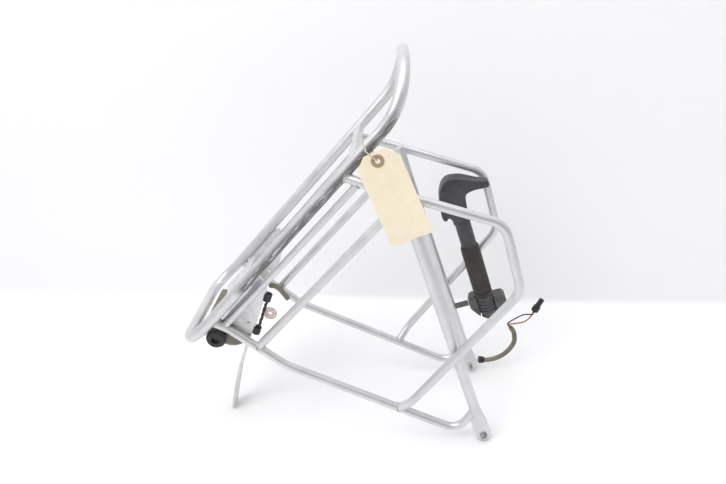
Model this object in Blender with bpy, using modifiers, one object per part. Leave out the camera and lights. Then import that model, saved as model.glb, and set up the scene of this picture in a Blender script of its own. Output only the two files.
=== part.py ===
"""Bicycle rear rack of welded aluminium tube, standing on its two dropouts and its front tongue.

Rack axes: u runs rearward along the platform, y to the right-hand side of the bicycle, n up and
square to the platform. Their origin lies midway between the two dropout eyelets. The empty
rack_axes carries them into the world, tilted as the rack stands when it is put down on a floor.
"""

import math

import bmesh
import bpy
from mathutils import Matrix, Vector

# ---------------------------------------------------------------- driving dimensions, in metres
GAP = 0.0003  # left between two pieces that touch, where the real ones are welded or pressed

PLATFORM_DIA = 0.013
PLATFORM_HALF = 0.073  # tube centre from the middle plane
PLATFORM_HEIGHT = 0.354  # tube centre above the eyelets
FRONT_END = -0.137  # tube centre of the front cross run
FRONT_CORNER = 0.027
FRONT_RISE_START = -0.085
FRONT_RISE_RADIUS = 0.30
TAIL_START = 0.205
TAIL_RADIUS = 0.085
TAIL_ANGLE = math.radians(45.0)
TAIL_CORNER = 0.050

ROD_DIA = 0.010  # struts, side loops and lower rails
STAY_DIA = 0.013
UPPER_RAIL_DIA = 0.0075

LOOP_TOP_U = 0.147
LOOP_REAR = (0.219, PLATFORM_HEIGHT - 0.155)
LOOP_LOW = (0.176, PLATFORM_HEIGHT - 0.226)
LOOP_REAR_RADIUS = 0.028
LOOP_LOW_RADIUS = 0.025
LOOP_FRONT_HEIGHT = LOOP_LOW[1] - 0.021

STRUT_TOP_U = -0.088
STRUT_KNEE = (-0.083, PLATFORM_HEIGHT - 0.105)
STRUT_KNEE_RADIUS = 0.060
STRUT_HEEL = (-0.017, 0.029)
STRUT_HEEL_RADIUS = 0.019
STRUT_END_HEIGHT = 0.037

STAY_SLOPE = 0.579  # rearward travel for each unit of height
SIDE_RAIL_DROP = 0.0085  # below the point where the stay meets the side loop
UPPER_RAIL_HEIGHT = PLATFORM_HEIGHT - 0.017
END_JOG = 0.026  # length over which a tube end turns from its own plane into its neighbour's

DROPOUT_THICK = 0.004
DROPOUT_NOSE = 0.010  # outer radius around the eyelet
DROPOUT_REACH = 0.036
EYELET_HOLE_DIA = 0.0054
SCREW_SHANK_DIA = EYELET_HOLE_DIA - 0.0006
SCREW_HEAD_DIA = 0.0088
SCREW_HEAD_HEIGHT = 0.0030
SCREW_LENGTH = 0.010

BRIDGE_U = 0.163
BRIDGE_THICK = 0.006
BRIDGE_WAIST = 0.011
BRIDGE_FLARE = 0.034

SHEET = 0.003  # front bracket plates
CHEEK_REAR = -0.008
CHEEK_FRONT = -0.079
CHEEK_HOLES = ((-0.030, 0.018), (-0.068, 0.036))  # along u, and below the platform
CHEEK_HOLE_DIA = 0.0044
CHEEK_FRONT_LOW = PLATFORM_HEIGHT - 0.049
CHEEK_REAR_LOW = PLATFORM_HEIGHT - 0.025
WEB_FRONT = -0.122
WEB_REAR = -0.057
WEB_SCOOP = 0.016
SHIELD_HALF = 0.047
SHIELD_TOP = PLATFORM_HEIGHT - 0.0025
SHIELD_LOW = PLATFORM_HEIGHT - 0.063
TONGUE_WIDTH = 0.030
TONGUE_TIP_WIDTH = 0.022
TONGUE_THICK = 0.0035
TONGUE_KNEE = (-0.1335, PLATFORM_HEIGHT - 0.0635)
TONGUE_TIP = (-0.2345, PLATFORM_HEIGHT - 0.114)
TONGUE_BOW = 0.004
TONGUE_ROUND = 0.007
TONGUE_KNEE_RADIUS = 0.010
TONGUE_SLOT = (0.007, 0.016)
TONGUE_SLOT_U = -0.194
BOLT_HEIGHTS = (PLATFORM_HEIGHT - 0.014, PLATFORM_HEIGHT - 0.040)
BOLT_DIA = 0.006
BOLT_HEAD_DIA = 0.0105
BOLT_HEAD_HEIGHT = 0.004
NUT_HEIGHT = 0.0045
HOLE_PLAY = 0.0004

BUFFER_DIA = 0.0235
BUFFER_LENGTH = 0.013
BUFFER_HOLE_DIA = 0.010
BUFFER_PLACE = (-0.1055, PLATFORM_HEIGHT - 0.019)
PAD_LENGTH = 0.006

PUMP_INSET = 0.0081  # pump axis inside the stay's plane
PUMP_FOOT = (0.0815, 0.0455)  # lowest point of the pump axis
PUMP_BARREL_DIA = 0.0200
PUMP_GRIP_DIA = PUMP_BARREL_DIA + 0.0045
PUMP_CAP_DIA = PUMP_BARREL_DIA + 0.0025
PUMP_CAP_END = 0.006
PUMP_GRIP_START = 0.040
PUMP_GRIP_END = 0.118
PUMP_BARREL_END = 0.155
PUMP_HEAD_END = 0.219
PUMP_HEAD_FRONT = 0.0220  # from the pump's axis to the hook in front
PUMP_HEAD_DEPTH = PUMP_BARREL_DIA + 0.0015
PUMP_HEAD_ROUND = 0.0026
PUMP_SLEEVE_WALL = 0.001
PUMP_MOUTH_DIA = 0.0032
PUMP_ARM_REACH = 0.044
PUMP_ROD_DIA = 0.006
PUMP_WALL = 0.0018
SADDLE_TOP = 0.040
SADDLE_EAR = 0.0115  # width of each ear beside the pump's foot
SADDLE_FLOOR = 0.007
SADDLE_LIP = 0.003  # how far the saddle comes forward of the pump's axis
SADDLE_PLAY = 0.0006
SADDLE_LOOP_ROOM = 0.0012
PEG_DIA = 0.005
PEG_HEIGHT = 0.186  # along the pump
PEG_CLEAR = 0.0009

CABLE_DIA = 0.0066
LEAD_DIA = 0.0018
SHEATH_ROUTE = [(0.0, 0.0, 0.0), (0.010, 0.001, -0.012), (0.024, 0.002, -0.020), (0.040, 0.002, -0.021),
                (0.057, 0.001, -0.015), (0.068, 0.0, -0.002), (0.071, 0.0, 0.008)]
LEAD_SAG = 0.0035
CONNECTOR_START = (0.111, 0.0, 0.004)  # from the cable's exit, like the sheath's route
CONNECTOR_END = (0.131, 0.0, 0.0105)
CONNECTOR_DIA = 0.010
# the short upper cable: along u, clear of the strut's inner side, below the platform
UPPER_CABLE_ROUTE = ((-0.073, 0.0188, 0.047), (-0.075, 0.0088, 0.056),
                     (-0.080, 0.0023, 0.066), (-0.086, GAP, 0.082))
TRIM_DIA = 0.005
LABEL_CORNERS = ((-0.0700, 0.0235), (-0.0150, 0.0165), (-0.0135, 0.0105), (-0.0735, 0.0105))

TAG_LONG = 0.097
TAG_WIDE = 0.044
TAG_THICK = 0.0008
TAG_LEAN = math.radians(25.0)  # from the rack's own upright
TAG_EYE_DIA = 0.005
TAG_RING_DIA = 0.013
TAG_HOLE_DOWN = 0.009
TAG_HOLE_U = 0.186
TAG_HOLE_N = PLATFORM_HEIGHT - 0.014
TAG_OUTSET = 0.0076  # the card hangs outside the side loop's plane
STRING_DIA = 0.0014

# ---------------------------------------------------------------- sizes that follow from those
PLATFORM_R = PLATFORM_DIA / 2
ROD_R = ROD_DIA / 2
STAY_R = STAY_DIA / 2
UPPER_R = UPPER_RAIL_DIA / 2
SIDE_STEP = STAY_R + ROD_R + GAP  # the stay's plane to the side loop's plane
LOOP_SIDE = PLATFORM_HALF + SIDE_STEP / 2
STAY_SIDE = PLATFORM_HALF - SIDE_STEP / 2
PUMP_SIDE = STAY_SIDE - PUMP_INSET
TAG_SIDE = LOOP_SIDE + TAG_OUTSET
TONGUE_FACE = WEB_FRONT - SHEET - 2 * GAP - TONGUE_THICK / 2
CHEEK_SIDE = STAY_SIDE - ROD_R - GAP  # outer face of a cheek plate
FLANGE_TOP = PLATFORM_HEIGHT - PLATFORM_R - GAP
PUMP_AXIS = Vector((STAY_SLOPE, 0.0, 1.0)).normalized()
PUMP_BACK = Vector((PUMP_AXIS.z, 0.0, -PUMP_AXIS.x))  # square to the pump, rearward and down

COLOURS = {
    "silver": ((0.80, 0.81, 0.83, 1), 0.34, 0.9),
    "plate_white": ((0.83, 0.83, 0.86, 1), 0.42, 0.6),
    "khaki": ((0.36, 0.33, 0.25, 1), 0.55, 0.2),
    "steel": ((0.55, 0.56, 0.58, 1), 0.30, 1.0),
    "rubber": ((0.018, 0.018, 0.02, 1), 0.75, 0.0),
    "pump_plastic": ((0.045, 0.047, 0.052, 1), 0.50, 0.0),
    "pump_rubber": ((0.040, 0.034, 0.030, 1), 0.80, 0.0),
    "grey_plastic": ((0.20, 0.21, 0.22, 1), 0.60, 0.0),
    "black_plastic": ((0.02, 0.02, 0.022, 1), 0.40, 0.0),
    "clear_plastic": ((0.75, 0.66, 0.62, 1), 0.30, 0.0),
    "label": ((0.78, 0.79, 0.82, 1), 0.55, 0.0),
    "red": ((0.42, 0.05, 0.03, 1), 0.45, 0.0),
    "paper": ((0.80, 0.66, 0.42, 1), 0.85, 0.0),
    "string": ((0.72, 0.66, 0.55, 1), 0.90, 0.0),
}


# ---------------------------------------------------------------- scene, materials and helpers
def clear_scene():
    for obj in list(bpy.data.objects):
        bpy.data.objects.remove(obj, do_unlink=True)


def new_collection(name, helper=False):
    made = bpy.data.collections.new(name)
    bpy.context.scene.collection.children.link(made)
    made.hide_render = helper
    return made


def material(name, kind):
    colour, roughness, metallic = COLOURS[kind]
    made = bpy.data.materials.new(name)
    made.use_nodes = True
    shader = made.node_tree.nodes["Principled BSDF"]
    shader.inputs["Base Color"].default_value = colour
    shader.inputs["Roughness"].default_value = roughness
    shader.inputs["Metallic"].default_value = metallic
    return made


clear_scene()
RACK = new_collection("rear_rack")
CUTTERS = new_collection("cutters", helper=True)
AXES = bpy.data.objects.new("rack_axes", None)
RACK.objects.link(AXES)


def add(name, mesh, kind=None, parent=AXES):
    """A part of the rack when it has a kind of material, and otherwise a cutter."""
    obj = bpy.data.objects.new(name, mesh)
    obj.parent = parent
    if kind:
        RACK.objects.link(obj)
        mesh.materials.append(material(name, kind))
    else:
        CUTTERS.objects.link(obj)
        obj.hide_render = True
        obj.display_type = "WIRE"
    return obj


def moving_axes(name, place):
    """An empty on a joint's axis, at rack coordinates."""
    empty = bpy.data.objects.new(name, None)
    empty.parent = AXES
    empty.location = place
    RACK.objects.link(empty)
    return empty


def on_axes(obj, parent):
    """Hands a piece modelled in rack coordinates to a joint's empty without moving it."""
    obj.parent = parent
    obj.location = -Vector(parent.location)
    return obj


def closed_mesh(name, bm):
    bmesh.ops.remove_doubles(bm, verts=bm.verts, dist=1e-6)
    bmesh.ops.recalc_face_normals(bm, faces=bm.faces)
    mesh = bpy.data.meshes.new(name)
    bm.to_mesh(mesh)
    bm.free()
    return mesh


def tube_mesh(name, points, radius, cyclic=False, resolution=3):
    """A round tube along the points, made as a bevelled curve and read back as a mesh."""
    curve = bpy.data.curves.new(name + "_curve", "CURVE")
    curve.dimensions = "3D"
    curve.bevel_depth = radius
    curve.bevel_resolution = resolution
    curve.use_fill_caps = not cyclic
    curve.twist_mode = "MINIMUM"
    spline = curve.splines.new("POLY")
    spline.points.add(len(points) - 1)
    for spot, point in zip(spline.points, points):
        spot.co = (*point, 1.0)
    spline.use_cyclic_u = cyclic
    holder = bpy.data.objects.new(name + "_curve", curve)
    bpy.context.scene.collection.objects.link(holder)
    graph = bpy.context.evaluated_depsgraph_get()
    mesh = bpy.data.meshes.new_from_object(holder.evaluated_get(graph))
    bpy.data.objects.remove(holder)
    bpy.data.curves.remove(curve)
    bm = bmesh.new()
    bm.from_mesh(mesh)
    bpy.data.meshes.remove(mesh)
    made = closed_mesh(name, bm)
    for face in made.polygons:
        face.use_smooth = len(face.vertices) == 4
    return made


def fillet(corners, radii, step=math.radians(9)):
    """The corner points joined by straight runs, each inner corner rounded to its radius."""
    points = [Vector(corners[0])]
    for i in range(1, len(corners) - 1):
        corner = Vector(corners[i])
        back = (Vector(corners[i - 1]) - corner).normalized()
        ahead = (Vector(corners[i + 1]) - corner).normalized()
        turn = math.pi - back.angle(ahead)
        radius = radii[i - 1]
        centre = corner + (back + ahead).normalized() * radius / math.cos(turn / 2)
        start = corner + back * radius * math.tan(turn / 2) - centre
        axis = back.cross(ahead).normalized()
        steps = max(2, round(turn / step))
        for k in range(steps + 1):
            points.append(centre + Matrix.Rotation(-turn * k / steps, 3, axis) @ start)
    points.append(Vector(corners[-1]))
    return points


def prism(name, outline, thick, place, across):
    """A flat plate: the outline, as (first, second) pairs, extruded by thick from place.

    across names the rack axis that the plate is square to; the outline lies on the other two.
    """
    def spot(first, second, depth):
        if across == "y":
            return Vector((first, place + depth, second))
        if across == "n":
            return Vector((first, second, place + depth))
        return Vector((place + depth, first, second))

    bm = bmesh.new()
    low = [bm.verts.new(spot(a, b, 0.0)) for a, b in outline]
    high = [bm.verts.new(spot(a, b, thick)) for a, b in outline]
    bm.faces.new(low)
    bm.faces.new(high)
    for i in range(len(outline)):
        j = (i + 1) % len(outline)
        bm.faces.new((low[i], low[j], high[j], high[i]))
    return closed_mesh(name, bm)


def turned(name, profile, base, axis, sides=24):
    """A solid turned round an axis from (distance along it, radius) pairs."""
    axis = Vector(axis).normalized()
    helper = Vector((0, 1, 0)) if abs(axis.y) < 0.9 else Vector((1, 0, 0))
    first = axis.cross(helper).normalized()
    second = axis.cross(first)
    bm = bmesh.new()
    rings = []
    for along, radius in profile:
        centre = Vector(base) + axis * along
        ring = []
        for k in range(sides):
            a = 2 * math.pi * k / sides
            ring.append(bm.verts.new(centre + (first * math.cos(a) + second * math.sin(a)) * radius))
        rings.append(ring)
    for near, far in zip(rings, rings[1:]):
        for k in range(sides):
            m = (k + 1) % sides
            bm.faces.new((near[k], near[m], far[m], far[k]))
    if profile[0] == profile[-1]:
        return closed_mesh(name, bm)
    bm.faces.new(rings[0])
    bm.faces.new(rings[-1])
    return closed_mesh(name, bm)


def arc(centre, radius, start, end, steps):
    """Points on a circle, for an outline; angles in degrees."""
    found = []
    for k in range(steps + 1):
        a = math.radians(start + (end - start) * k / steps)
        found.append((centre[0] + radius * math.cos(a), centre[1] + radius * math.sin(a)))
    return found


def boolean(obj, cutter, operation="DIFFERENCE"):
    change = obj.modifiers.new(cutter.name, "BOOLEAN")
    change.operation = operation
    change.solver = "EXACT"
    change.object = cutter
    return obj


def softened(obj, width, segments=2):
    edge = obj.modifiers.new("edge", "BEVEL")
    edge.width = width
    edge.segments = segments
    edge.limit_method = "ANGLE"
    edge.angle_limit = math.radians(35)
    return obj


# ---------------------------------------------------------------- where each tube runs
def platform_spot(along, side):
    """The platform's line in rack coordinates: level, easing up in front, swept up at the tail."""
    u = along
    n = PLATFORM_HEIGHT
    if along < FRONT_RISE_START:
        angle = (FRONT_RISE_START - along) / FRONT_RISE_RADIUS
        u = FRONT_RISE_START - FRONT_RISE_RADIUS * math.sin(angle)
        n += FRONT_RISE_RADIUS * (1 - math.cos(angle))
    if along > TAIL_START:
        angle = (along - TAIL_START) / TAIL_RADIUS
        u = TAIL_START + TAIL_RADIUS * math.sin(angle)
        n += TAIL_RADIUS * (1 - math.cos(angle))
    return Vector((u, side, n))


def platform_path():
    """A closed loop: a rounded rectangle on the platform's developed surface."""
    tail_end = TAIL_START + TAIL_RADIUS * TAIL_ANGLE
    right = []
    for k in range(8):
        a = math.pi / 2 * k / 7
        right.append((FRONT_END + FRONT_CORNER * (1 - math.cos(a)),
                      PLATFORM_HALF - FRONT_CORNER * (1 - math.sin(a))))
    right.append((FRONT_RISE_START, PLATFORM_HALF))
    arc_left = tail_end - TAIL_CORNER
    for k in range(3):
        along = TAIL_START + (arc_left - TAIL_START) * k / 3
        right.append((along, PLATFORM_HALF))
    for k in range(10):
        a = math.pi / 2 * k / 9
        right.append((arc_left + TAIL_CORNER * math.sin(a),
                      PLATFORM_HALF - TAIL_CORNER * (1 - math.cos(a))))
    left = [(along, -side) for along, side in reversed(right)]
    return [platform_spot(along, side) for along, side in right + left]


def stay_u(height):
    return STAY_SLOPE * height


def loop_line_u(height):
    """Where the side loop's upper run stands at a height."""
    share = (PLATFORM_HEIGHT - height) / (PLATFORM_HEIGHT - LOOP_REAR[1])
    return LOOP_TOP_U + (LOOP_REAR[0] - LOOP_TOP_U) * share


def strut_u(height):
    """Where the front strut stands at a height, on its straight runs."""
    if height > STRUT_KNEE[1]:
        share = (height - STRUT_KNEE[1]) / (PLATFORM_HEIGHT - STRUT_KNEE[1])
        return STRUT_KNEE[0] + (STRUT_TOP_U - STRUT_KNEE[0]) * share
    share = (height - STRUT_HEEL[1]) / (STRUT_KNEE[1] - STRUT_HEEL[1])
    return STRUT_HEEL[0] + (STRUT_KNEE[0] - STRUT_HEEL[0]) * share


def loop_path(side):
    jog_height = PLATFORM_HEIGHT - END_JOG
    front_u = strut_u(LOOP_FRONT_HEIGHT)
    run = Vector((front_u - LOOP_LOW[0], LOOP_FRONT_HEIGHT - LOOP_LOW[1])).normalized()
    turn_in = Vector((front_u, LOOP_FRONT_HEIGHT)) - run * END_JOG
    corners = [
        (LOOP_TOP_U, side * PLATFORM_HALF, PLATFORM_HEIGHT),
        (loop_line_u(jog_height), side * LOOP_SIDE, jog_height),
        (LOOP_REAR[0], side * LOOP_SIDE, LOOP_REAR[1]),
        (LOOP_LOW[0], side * LOOP_SIDE, LOOP_LOW[1]),
        (turn_in.x, side * LOOP_SIDE, turn_in.y),
        (front_u, side * STAY_SIDE, LOOP_FRONT_HEIGHT),
    ]
    return fillet(corners, (0.040, LOOP_REAR_RADIUS, LOOP_LOW_RADIUS, 0.030))


def strut_path(side):
    jog_height = PLATFORM_HEIGHT - END_JOG
    corners = [
        (STRUT_TOP_U, side * PLATFORM_HALF, PLATFORM_HEIGHT),
        (strut_u(jog_height), side * STAY_SIDE, jog_height),
        (STRUT_KNEE[0], side * STAY_SIDE, STRUT_KNEE[1]),
        (STRUT_HEEL[0], side * STAY_SIDE, STRUT_HEEL[1]),
        (stay_u(STRUT_END_HEIGHT), side * STAY_SIDE, STRUT_END_HEIGHT),
    ]
    return fillet(corners, (0.040, STRUT_KNEE_RADIUS, STRUT_HEEL_RADIUS))


def stay_top():
    """Height at which the stay's line meets the side loop's upper run."""
    slope = (LOOP_REAR[0] - LOOP_TOP_U) / (PLATFORM_HEIGHT - LOOP_REAR[1])
    return (LOOP_TOP_U + slope * PLATFORM_HEIGHT) / (STAY_SLOPE + slope)


def stay_path(side):
    low = DROPOUT_REACH * 0.62
    top = stay_top() + 0.003
    return [(stay_u(low), side * STAY_SIDE, low), (stay_u(top), side * STAY_SIDE, top)]


def side_rail_path(side):
    height = stay_top() - SIDE_RAIL_DROP
    return [(strut_u(height), side * STAY_SIDE, height), (stay_u(height), side * STAY_SIDE, height)]


def jog_side(height, plane):
    """Distance from the middle of a tube end on its way from the platform into its own plane."""
    share = (PLATFORM_HEIGHT - height) / END_JOG
    return PLATFORM_HALF + (plane - PLATFORM_HALF) * share


def upper_rail_path(side):
    height = UPPER_RAIL_HEIGHT
    front = (strut_u(height), side * jog_side(height, STAY_SIDE), height)
    rear = (loop_line_u(height), side * jog_side(height, LOOP_SIDE), height)
    return [front, rear]


# ---------------------------------------------------------------- the welded frame
def build_frame():
    ring = platform_path()
    platform = add("platform_loop", tube_mesh("platform_loop", ring, PLATFORM_R, True, 4), "silver")
    around_platform = add("around_platform", tube_mesh("c", ring, PLATFORM_R + GAP, True, 4))
    for word, side in (("left", -1), ("right", 1)):
        around_stay = add("around_stay_" + word, tube_mesh("c", stay_path(side), STAY_R + GAP))
        around_strut = add("around_strut_" + word, tube_mesh("c", strut_path(side), ROD_R + GAP))
        around_loop = add("around_loop_" + word, tube_mesh("c", loop_path(side), ROD_R + GAP))

        loop = add("side_loop_" + word, tube_mesh("side_loop", loop_path(side), ROD_R), "silver")
        boolean(loop, around_platform)
        boolean(loop, around_strut)
        strut = add("front_strut_" + word, tube_mesh("front_strut", strut_path(side), ROD_R), "silver")
        boolean(strut, around_platform)
        boolean(strut, around_stay)
        rail = add("side_rail_" + word, tube_mesh("side_rail", side_rail_path(side), ROD_R), "silver")
        boolean(rail, around_strut)
        boolean(rail, around_stay)
        upper = add("upper_rail_" + word, tube_mesh("upper_rail", upper_rail_path(side), UPPER_R), "silver")
        boolean(upper, around_strut)
        boolean(upper, around_loop)
        build_stay(word, side, around_strut)
    build_bridge(around_platform)
    return platform


def build_stay(word, side, around_strut):
    """The stay is one tube whose lower end is pressed flat into the dropout plate."""
    stay = add("stay_" + word, tube_mesh("stay", stay_path(side), STAY_R), "silver")
    toe = DROPOUT_NOSE
    top = DROPOUT_REACH
    back = stay_u(top) + STAY_R
    front = stay_u(top) - STAY_R
    outline = arc((0.0, 0.0), toe, 205, 385, 12)
    outline += [(back + 0.001, top * 0.86), (back, top)]
    outline += [(front, top), (front - 0.004, top * 0.66)]
    inner = side * STAY_SIDE - DROPOUT_THICK / 2
    plate = add("dropout_" + word, prism("dropout", outline, DROPOUT_THICK, inner, "y"))
    boolean(stay, plate, "UNION")
    bore = turned("c", [(-0.01, EYELET_HOLE_DIA / 2), (0.01, EYELET_HOLE_DIA / 2)],
                  (0.0, side * STAY_SIDE, 0.0), (0, 1, 0), 16)
    boolean(stay, add("eyelet_bore_" + word, bore))
    outer = side * (STAY_SIDE + DROPOUT_THICK / 2 + GAP)
    shank = SCREW_SHANK_DIA / 2
    head = SCREW_HEAD_DIA / 2
    profile = [(-SCREW_LENGTH, shank), (0.0, shank), (0.0, head),
               (SCREW_HEAD_HEIGHT * 0.6, head), (SCREW_HEAD_HEIGHT, head * 0.7)]
    screw = turned("screw", profile, (0.0, outer, 0.0), (0, side, 0), 16)
    screw = add("eyelet_screw_" + word, screw, "steel")
    slot_mid = outer + side * SCREW_HEAD_HEIGHT
    outline = [(-head, -0.0006), (head, -0.0006), (head, 0.0006), (-head, 0.0006)]
    cut = add("screw_slot_" + word, prism("c", outline, 0.0024, slot_mid - 0.0012, "y"))
    boolean(screw, cut)


def build_bridge(around_platform):
    """The flared cross-member between the two platform tubes, below the tail."""
    half = PLATFORM_HALF
    waist = BRIDGE_WAIST / 2
    flare = BRIDGE_FLARE / 2
    blend = 0.024
    edge = []
    for k in range(9):
        share = k / 8
        edge.append((waist + (flare - waist) * share ** 2.4, half - PLATFORM_R - blend * (1 - share)))
    edge.append((flare, half))
    rear = [(BRIDGE_U + w, y) for w, y in edge]
    front = [(BRIDGE_U - w, y) for w, y in reversed(edge)]
    outline = rear + front + [(u, -y) for u, y in reversed(front)] + [(u, -y) for u, y in reversed(rear)]
    low = PLATFORM_HEIGHT - BRIDGE_THICK / 2
    bridge = add("rear_bridge", prism("rear_bridge", outline, BRIDGE_THICK, low, "n"), "silver")
    boolean(bridge, around_platform)


# ---------------------------------------------------------------- the front bracket
def cheek_outline():
    return [
        (CHEEK_REAR, FLANGE_TOP),
        (CHEEK_FRONT, FLANGE_TOP),
        (CHEEK_FRONT - 0.004, FLANGE_TOP - 0.004),
        (CHEEK_FRONT - 0.004, CHEEK_FRONT_LOW + 0.006),
        (CHEEK_FRONT + 0.003, CHEEK_FRONT_LOW),
        (CHEEK_REAR - 0.012, CHEEK_REAR_LOW - 0.002),
        (CHEEK_REAR - 0.004, CHEEK_REAR_LOW + 0.003),
    ]


def build_bracket():
    for word, side in (("left", -1), ("right", 1)):
        inner = side * CHEEK_SIDE - (SHEET if side > 0 else 0.0)
        cheek = prism("bracket_cheek", cheek_outline(), SHEET, inner, "y")
        cheek = add("bracket_cheek_" + word, cheek, "plate_white")
        near = side * (CHEEK_SIDE - SHEET / 2)
        far = side * PLATFORM_HALF
        outline = [(CHEEK_REAR - 0.002, near), (CHEEK_FRONT + 0.002, near),
                   (CHEEK_FRONT + 0.002, far), (CHEEK_REAR - 0.010, far)]
        thin = SHEET * 0.8
        flange = add("flange_" + word, prism("c", outline, thin, FLANGE_TOP - thin - 0.0001, "n"))
        boolean(cheek, flange, "UNION")
        for k, (u, down) in enumerate(CHEEK_HOLES):
            n = PLATFORM_HEIGHT - down
            bore = turned("c", [(-0.01, CHEEK_HOLE_DIA / 2), (0.01, CHEEK_HOLE_DIA / 2)],
                          (u, near, n), (0, 1, 0), 12)
            boolean(cheek, add(f"cheek_hole_{word}_{k}", bore))
    build_web()
    build_shield_and_tongue()
    build_buffer()
    build_trim()


def build_web():
    """The plate between the cheeks, scooped in front where the seat tube passes."""
    half = CHEEK_SIDE - SHEET - GAP
    edge = []
    for k in range(13):
        y = half - 2 * half * k / 12
        bow = max(0.0, 1 - (y / SHIELD_HALF) ** 2)
        edge.append((WEB_FRONT + WEB_SCOOP * bow, y))
    outline = edge + [(WEB_REAR - 0.006, -half), (WEB_REAR, -half + 0.008),
                      (WEB_REAR, half - 0.008), (WEB_REAR - 0.006, half)]
    low = FLANGE_TOP - SHEET
    add("bracket_web", prism("bracket_web", outline, SHEET, low, "n"), "plate_white")


def shield_outline():
    """Straight at the top and sides, round below."""
    low_radius = SHIELD_HALF
    spring = SHIELD_LOW + low_radius * 0.72
    points = [(SHIELD_HALF, SHIELD_TOP - 0.006), (SHIELD_HALF - 0.006, SHIELD_TOP)]
    points += [(-SHIELD_HALF + 0.006, SHIELD_TOP), (-SHIELD_HALF, SHIELD_TOP - 0.006)]
    for k in range(15):
        a = math.pi * k / 14
        points.append((-SHIELD_HALF * math.cos(a), spring - (spring - SHIELD_LOW) * math.sin(a)))
    return points


def ribbon(name, points, widths, thick):
    """A strip of sheet bent along points in the middle plane, with its own width at each."""
    bm = bmesh.new()
    rings = []
    for i, point in enumerate(points):
        before = points[max(i - 1, 0)]
        after = points[min(i + 1, len(points) - 1)]
        along = (after - before).normalized()
        square = Vector((-along.z, 0, along.x)) * thick / 2
        half = Vector((0, widths[i] / 2, 0))
        corners = ((1, 1), (1, -1), (-1, -1), (-1, 1))
        rings.append([bm.verts.new(point + s * square + t * half) for s, t in corners])
    for near, far in zip(rings, rings[1:]):
        for k in range(4):
            m = (k + 1) % 4
            bm.faces.new((near[k], near[m], far[m], far[k]))
    bm.faces.new(rings[0])
    bm.faces.new(rings[-1])
    return closed_mesh(name, bm)


def tongue_line():
    """The tongue's middle line: down the shield's front face, then forward to the tip."""
    tip = (TONGUE_TIP[0], 0, TONGUE_TIP[1])
    bow = ((TONGUE_FACE + tip[0]) / 2, 0, (TONGUE_KNEE[1] + tip[2]) / 2 + TONGUE_BOW)
    top = (TONGUE_FACE, 0, BOLT_HEIGHTS[0] + 0.009)
    return fillet([top, (TONGUE_FACE, 0, TONGUE_KNEE[1]), bow, tip], (TONGUE_KNEE_RADIUS, 0.35))


def standing_tilt():
    """The tilt at which the tongue's end and the round dropout noses touch one floor."""
    line = tongue_line()
    ahead = (line[-1] - line[-2]).normalized()
    under = Vector((ahead.z, 0, -ahead.x))
    if under.z > 0:
        under = -under
    toe = line[-1] + ahead * TONGUE_ROUND * math.sin(math.radians(75)) + under * TONGUE_THICK / 2
    far = math.hypot(toe.x, toe.z)
    return math.acos(-DROPOUT_NOSE / far) - math.atan2(-toe.x, toe.z)


def build_shield_and_tongue():
    shield_back = WEB_FRONT - GAP
    shield_front = shield_back - SHEET
    shield = prism("bracket_shield", shield_outline(), SHEET, shield_front, "u")
    shield = add("bracket_shield", shield, "khaki")

    face = TONGUE_FACE
    knee = (face, 0, TONGUE_KNEE[1])
    tip = (TONGUE_TIP[0], 0, TONGUE_TIP[1])
    line = tongue_line()
    end = line[-1]
    rounding = []
    narrowing = (TONGUE_WIDTH - TONGUE_TIP_WIDTH) / (len(line) - 1)
    widths = [TONGUE_WIDTH - narrowing * i for i in range(len(line))]
    ahead = (end - line[-2]).normalized()
    for k in range(1, 6):
        a = math.pi / 2 * k / 6
        rounding.append(end + ahead * TONGUE_ROUND * math.sin(a))
        widths.append(TONGUE_TIP_WIDTH * (0.45 + 0.55 * math.cos(a)))
    tongue = add("tongue", ribbon("tongue", line + rounding, widths, TONGUE_THICK), "silver")

    share = (TONGUE_SLOT_U - knee[0]) / (tip[0] - knee[0])
    middle = Vector(knee).lerp(Vector(tip), share)
    slope = (Vector(tip) - Vector(knee)).normalized()
    half_long = TONGUE_SLOT[1] / 2 - TONGUE_SLOT[0] / 2
    outline = arc((half_long, 0), TONGUE_SLOT[0] / 2, -90, 90, 6)
    outline += arc((-half_long, 0), TONGUE_SLOT[0] / 2, 90, 270, 6)
    slot = add("tongue_slot", prism("c", outline, 0.03, -0.015, "n"))
    turn = Matrix((slope, Vector((0, 1, 0)), slope.cross(Vector((0, 1, 0))))).transposed()
    slot.data.transform(Matrix.Translation(middle) @ turn.to_4x4())
    boolean(tongue, slot)

    for k, height in enumerate(BOLT_HEIGHTS):
        loose = BOLT_DIA / 2 + HOLE_PLAY
        bore = turned("c", [(-0.03, loose), (0.03, loose)], (face, 0, height), (1, 0, 0), 16)
        bore = add(f"bolt_bore_{k}", bore)
        boolean(shield, bore)
        boolean(tongue, bore)
        front = face - TONGUE_THICK / 2 - GAP
        back = shield_back + GAP
        head = BOLT_HEAD_DIA / 2
        shank = BOLT_DIA / 2
        hexagon = turned("bolt", [(-BOLT_HEAD_HEIGHT, head), (0.0, head)], (front, 0, height), (1, 0, 0), 6)
        bolt = add(f"tongue_bolt_{k + 1}", hexagon, "steel")
        rod = turned("c", [(-BOLT_HEAD_HEIGHT / 2, shank), (back - front + 0.006, shank)],
                     (front, 0, height), (1, 0, 0), 16)
        rod = add(f"bolt_shank_{k}", rod)
        boolean(bolt, rod, "UNION")
        nut = turned("nut", [(0.0, head), (NUT_HEIGHT, head)], (back, 0, height), (1, 0, 0), 6)
        nut = add(f"tongue_nut_{k + 1}", nut, "steel")
        boolean(nut, bore)


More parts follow.
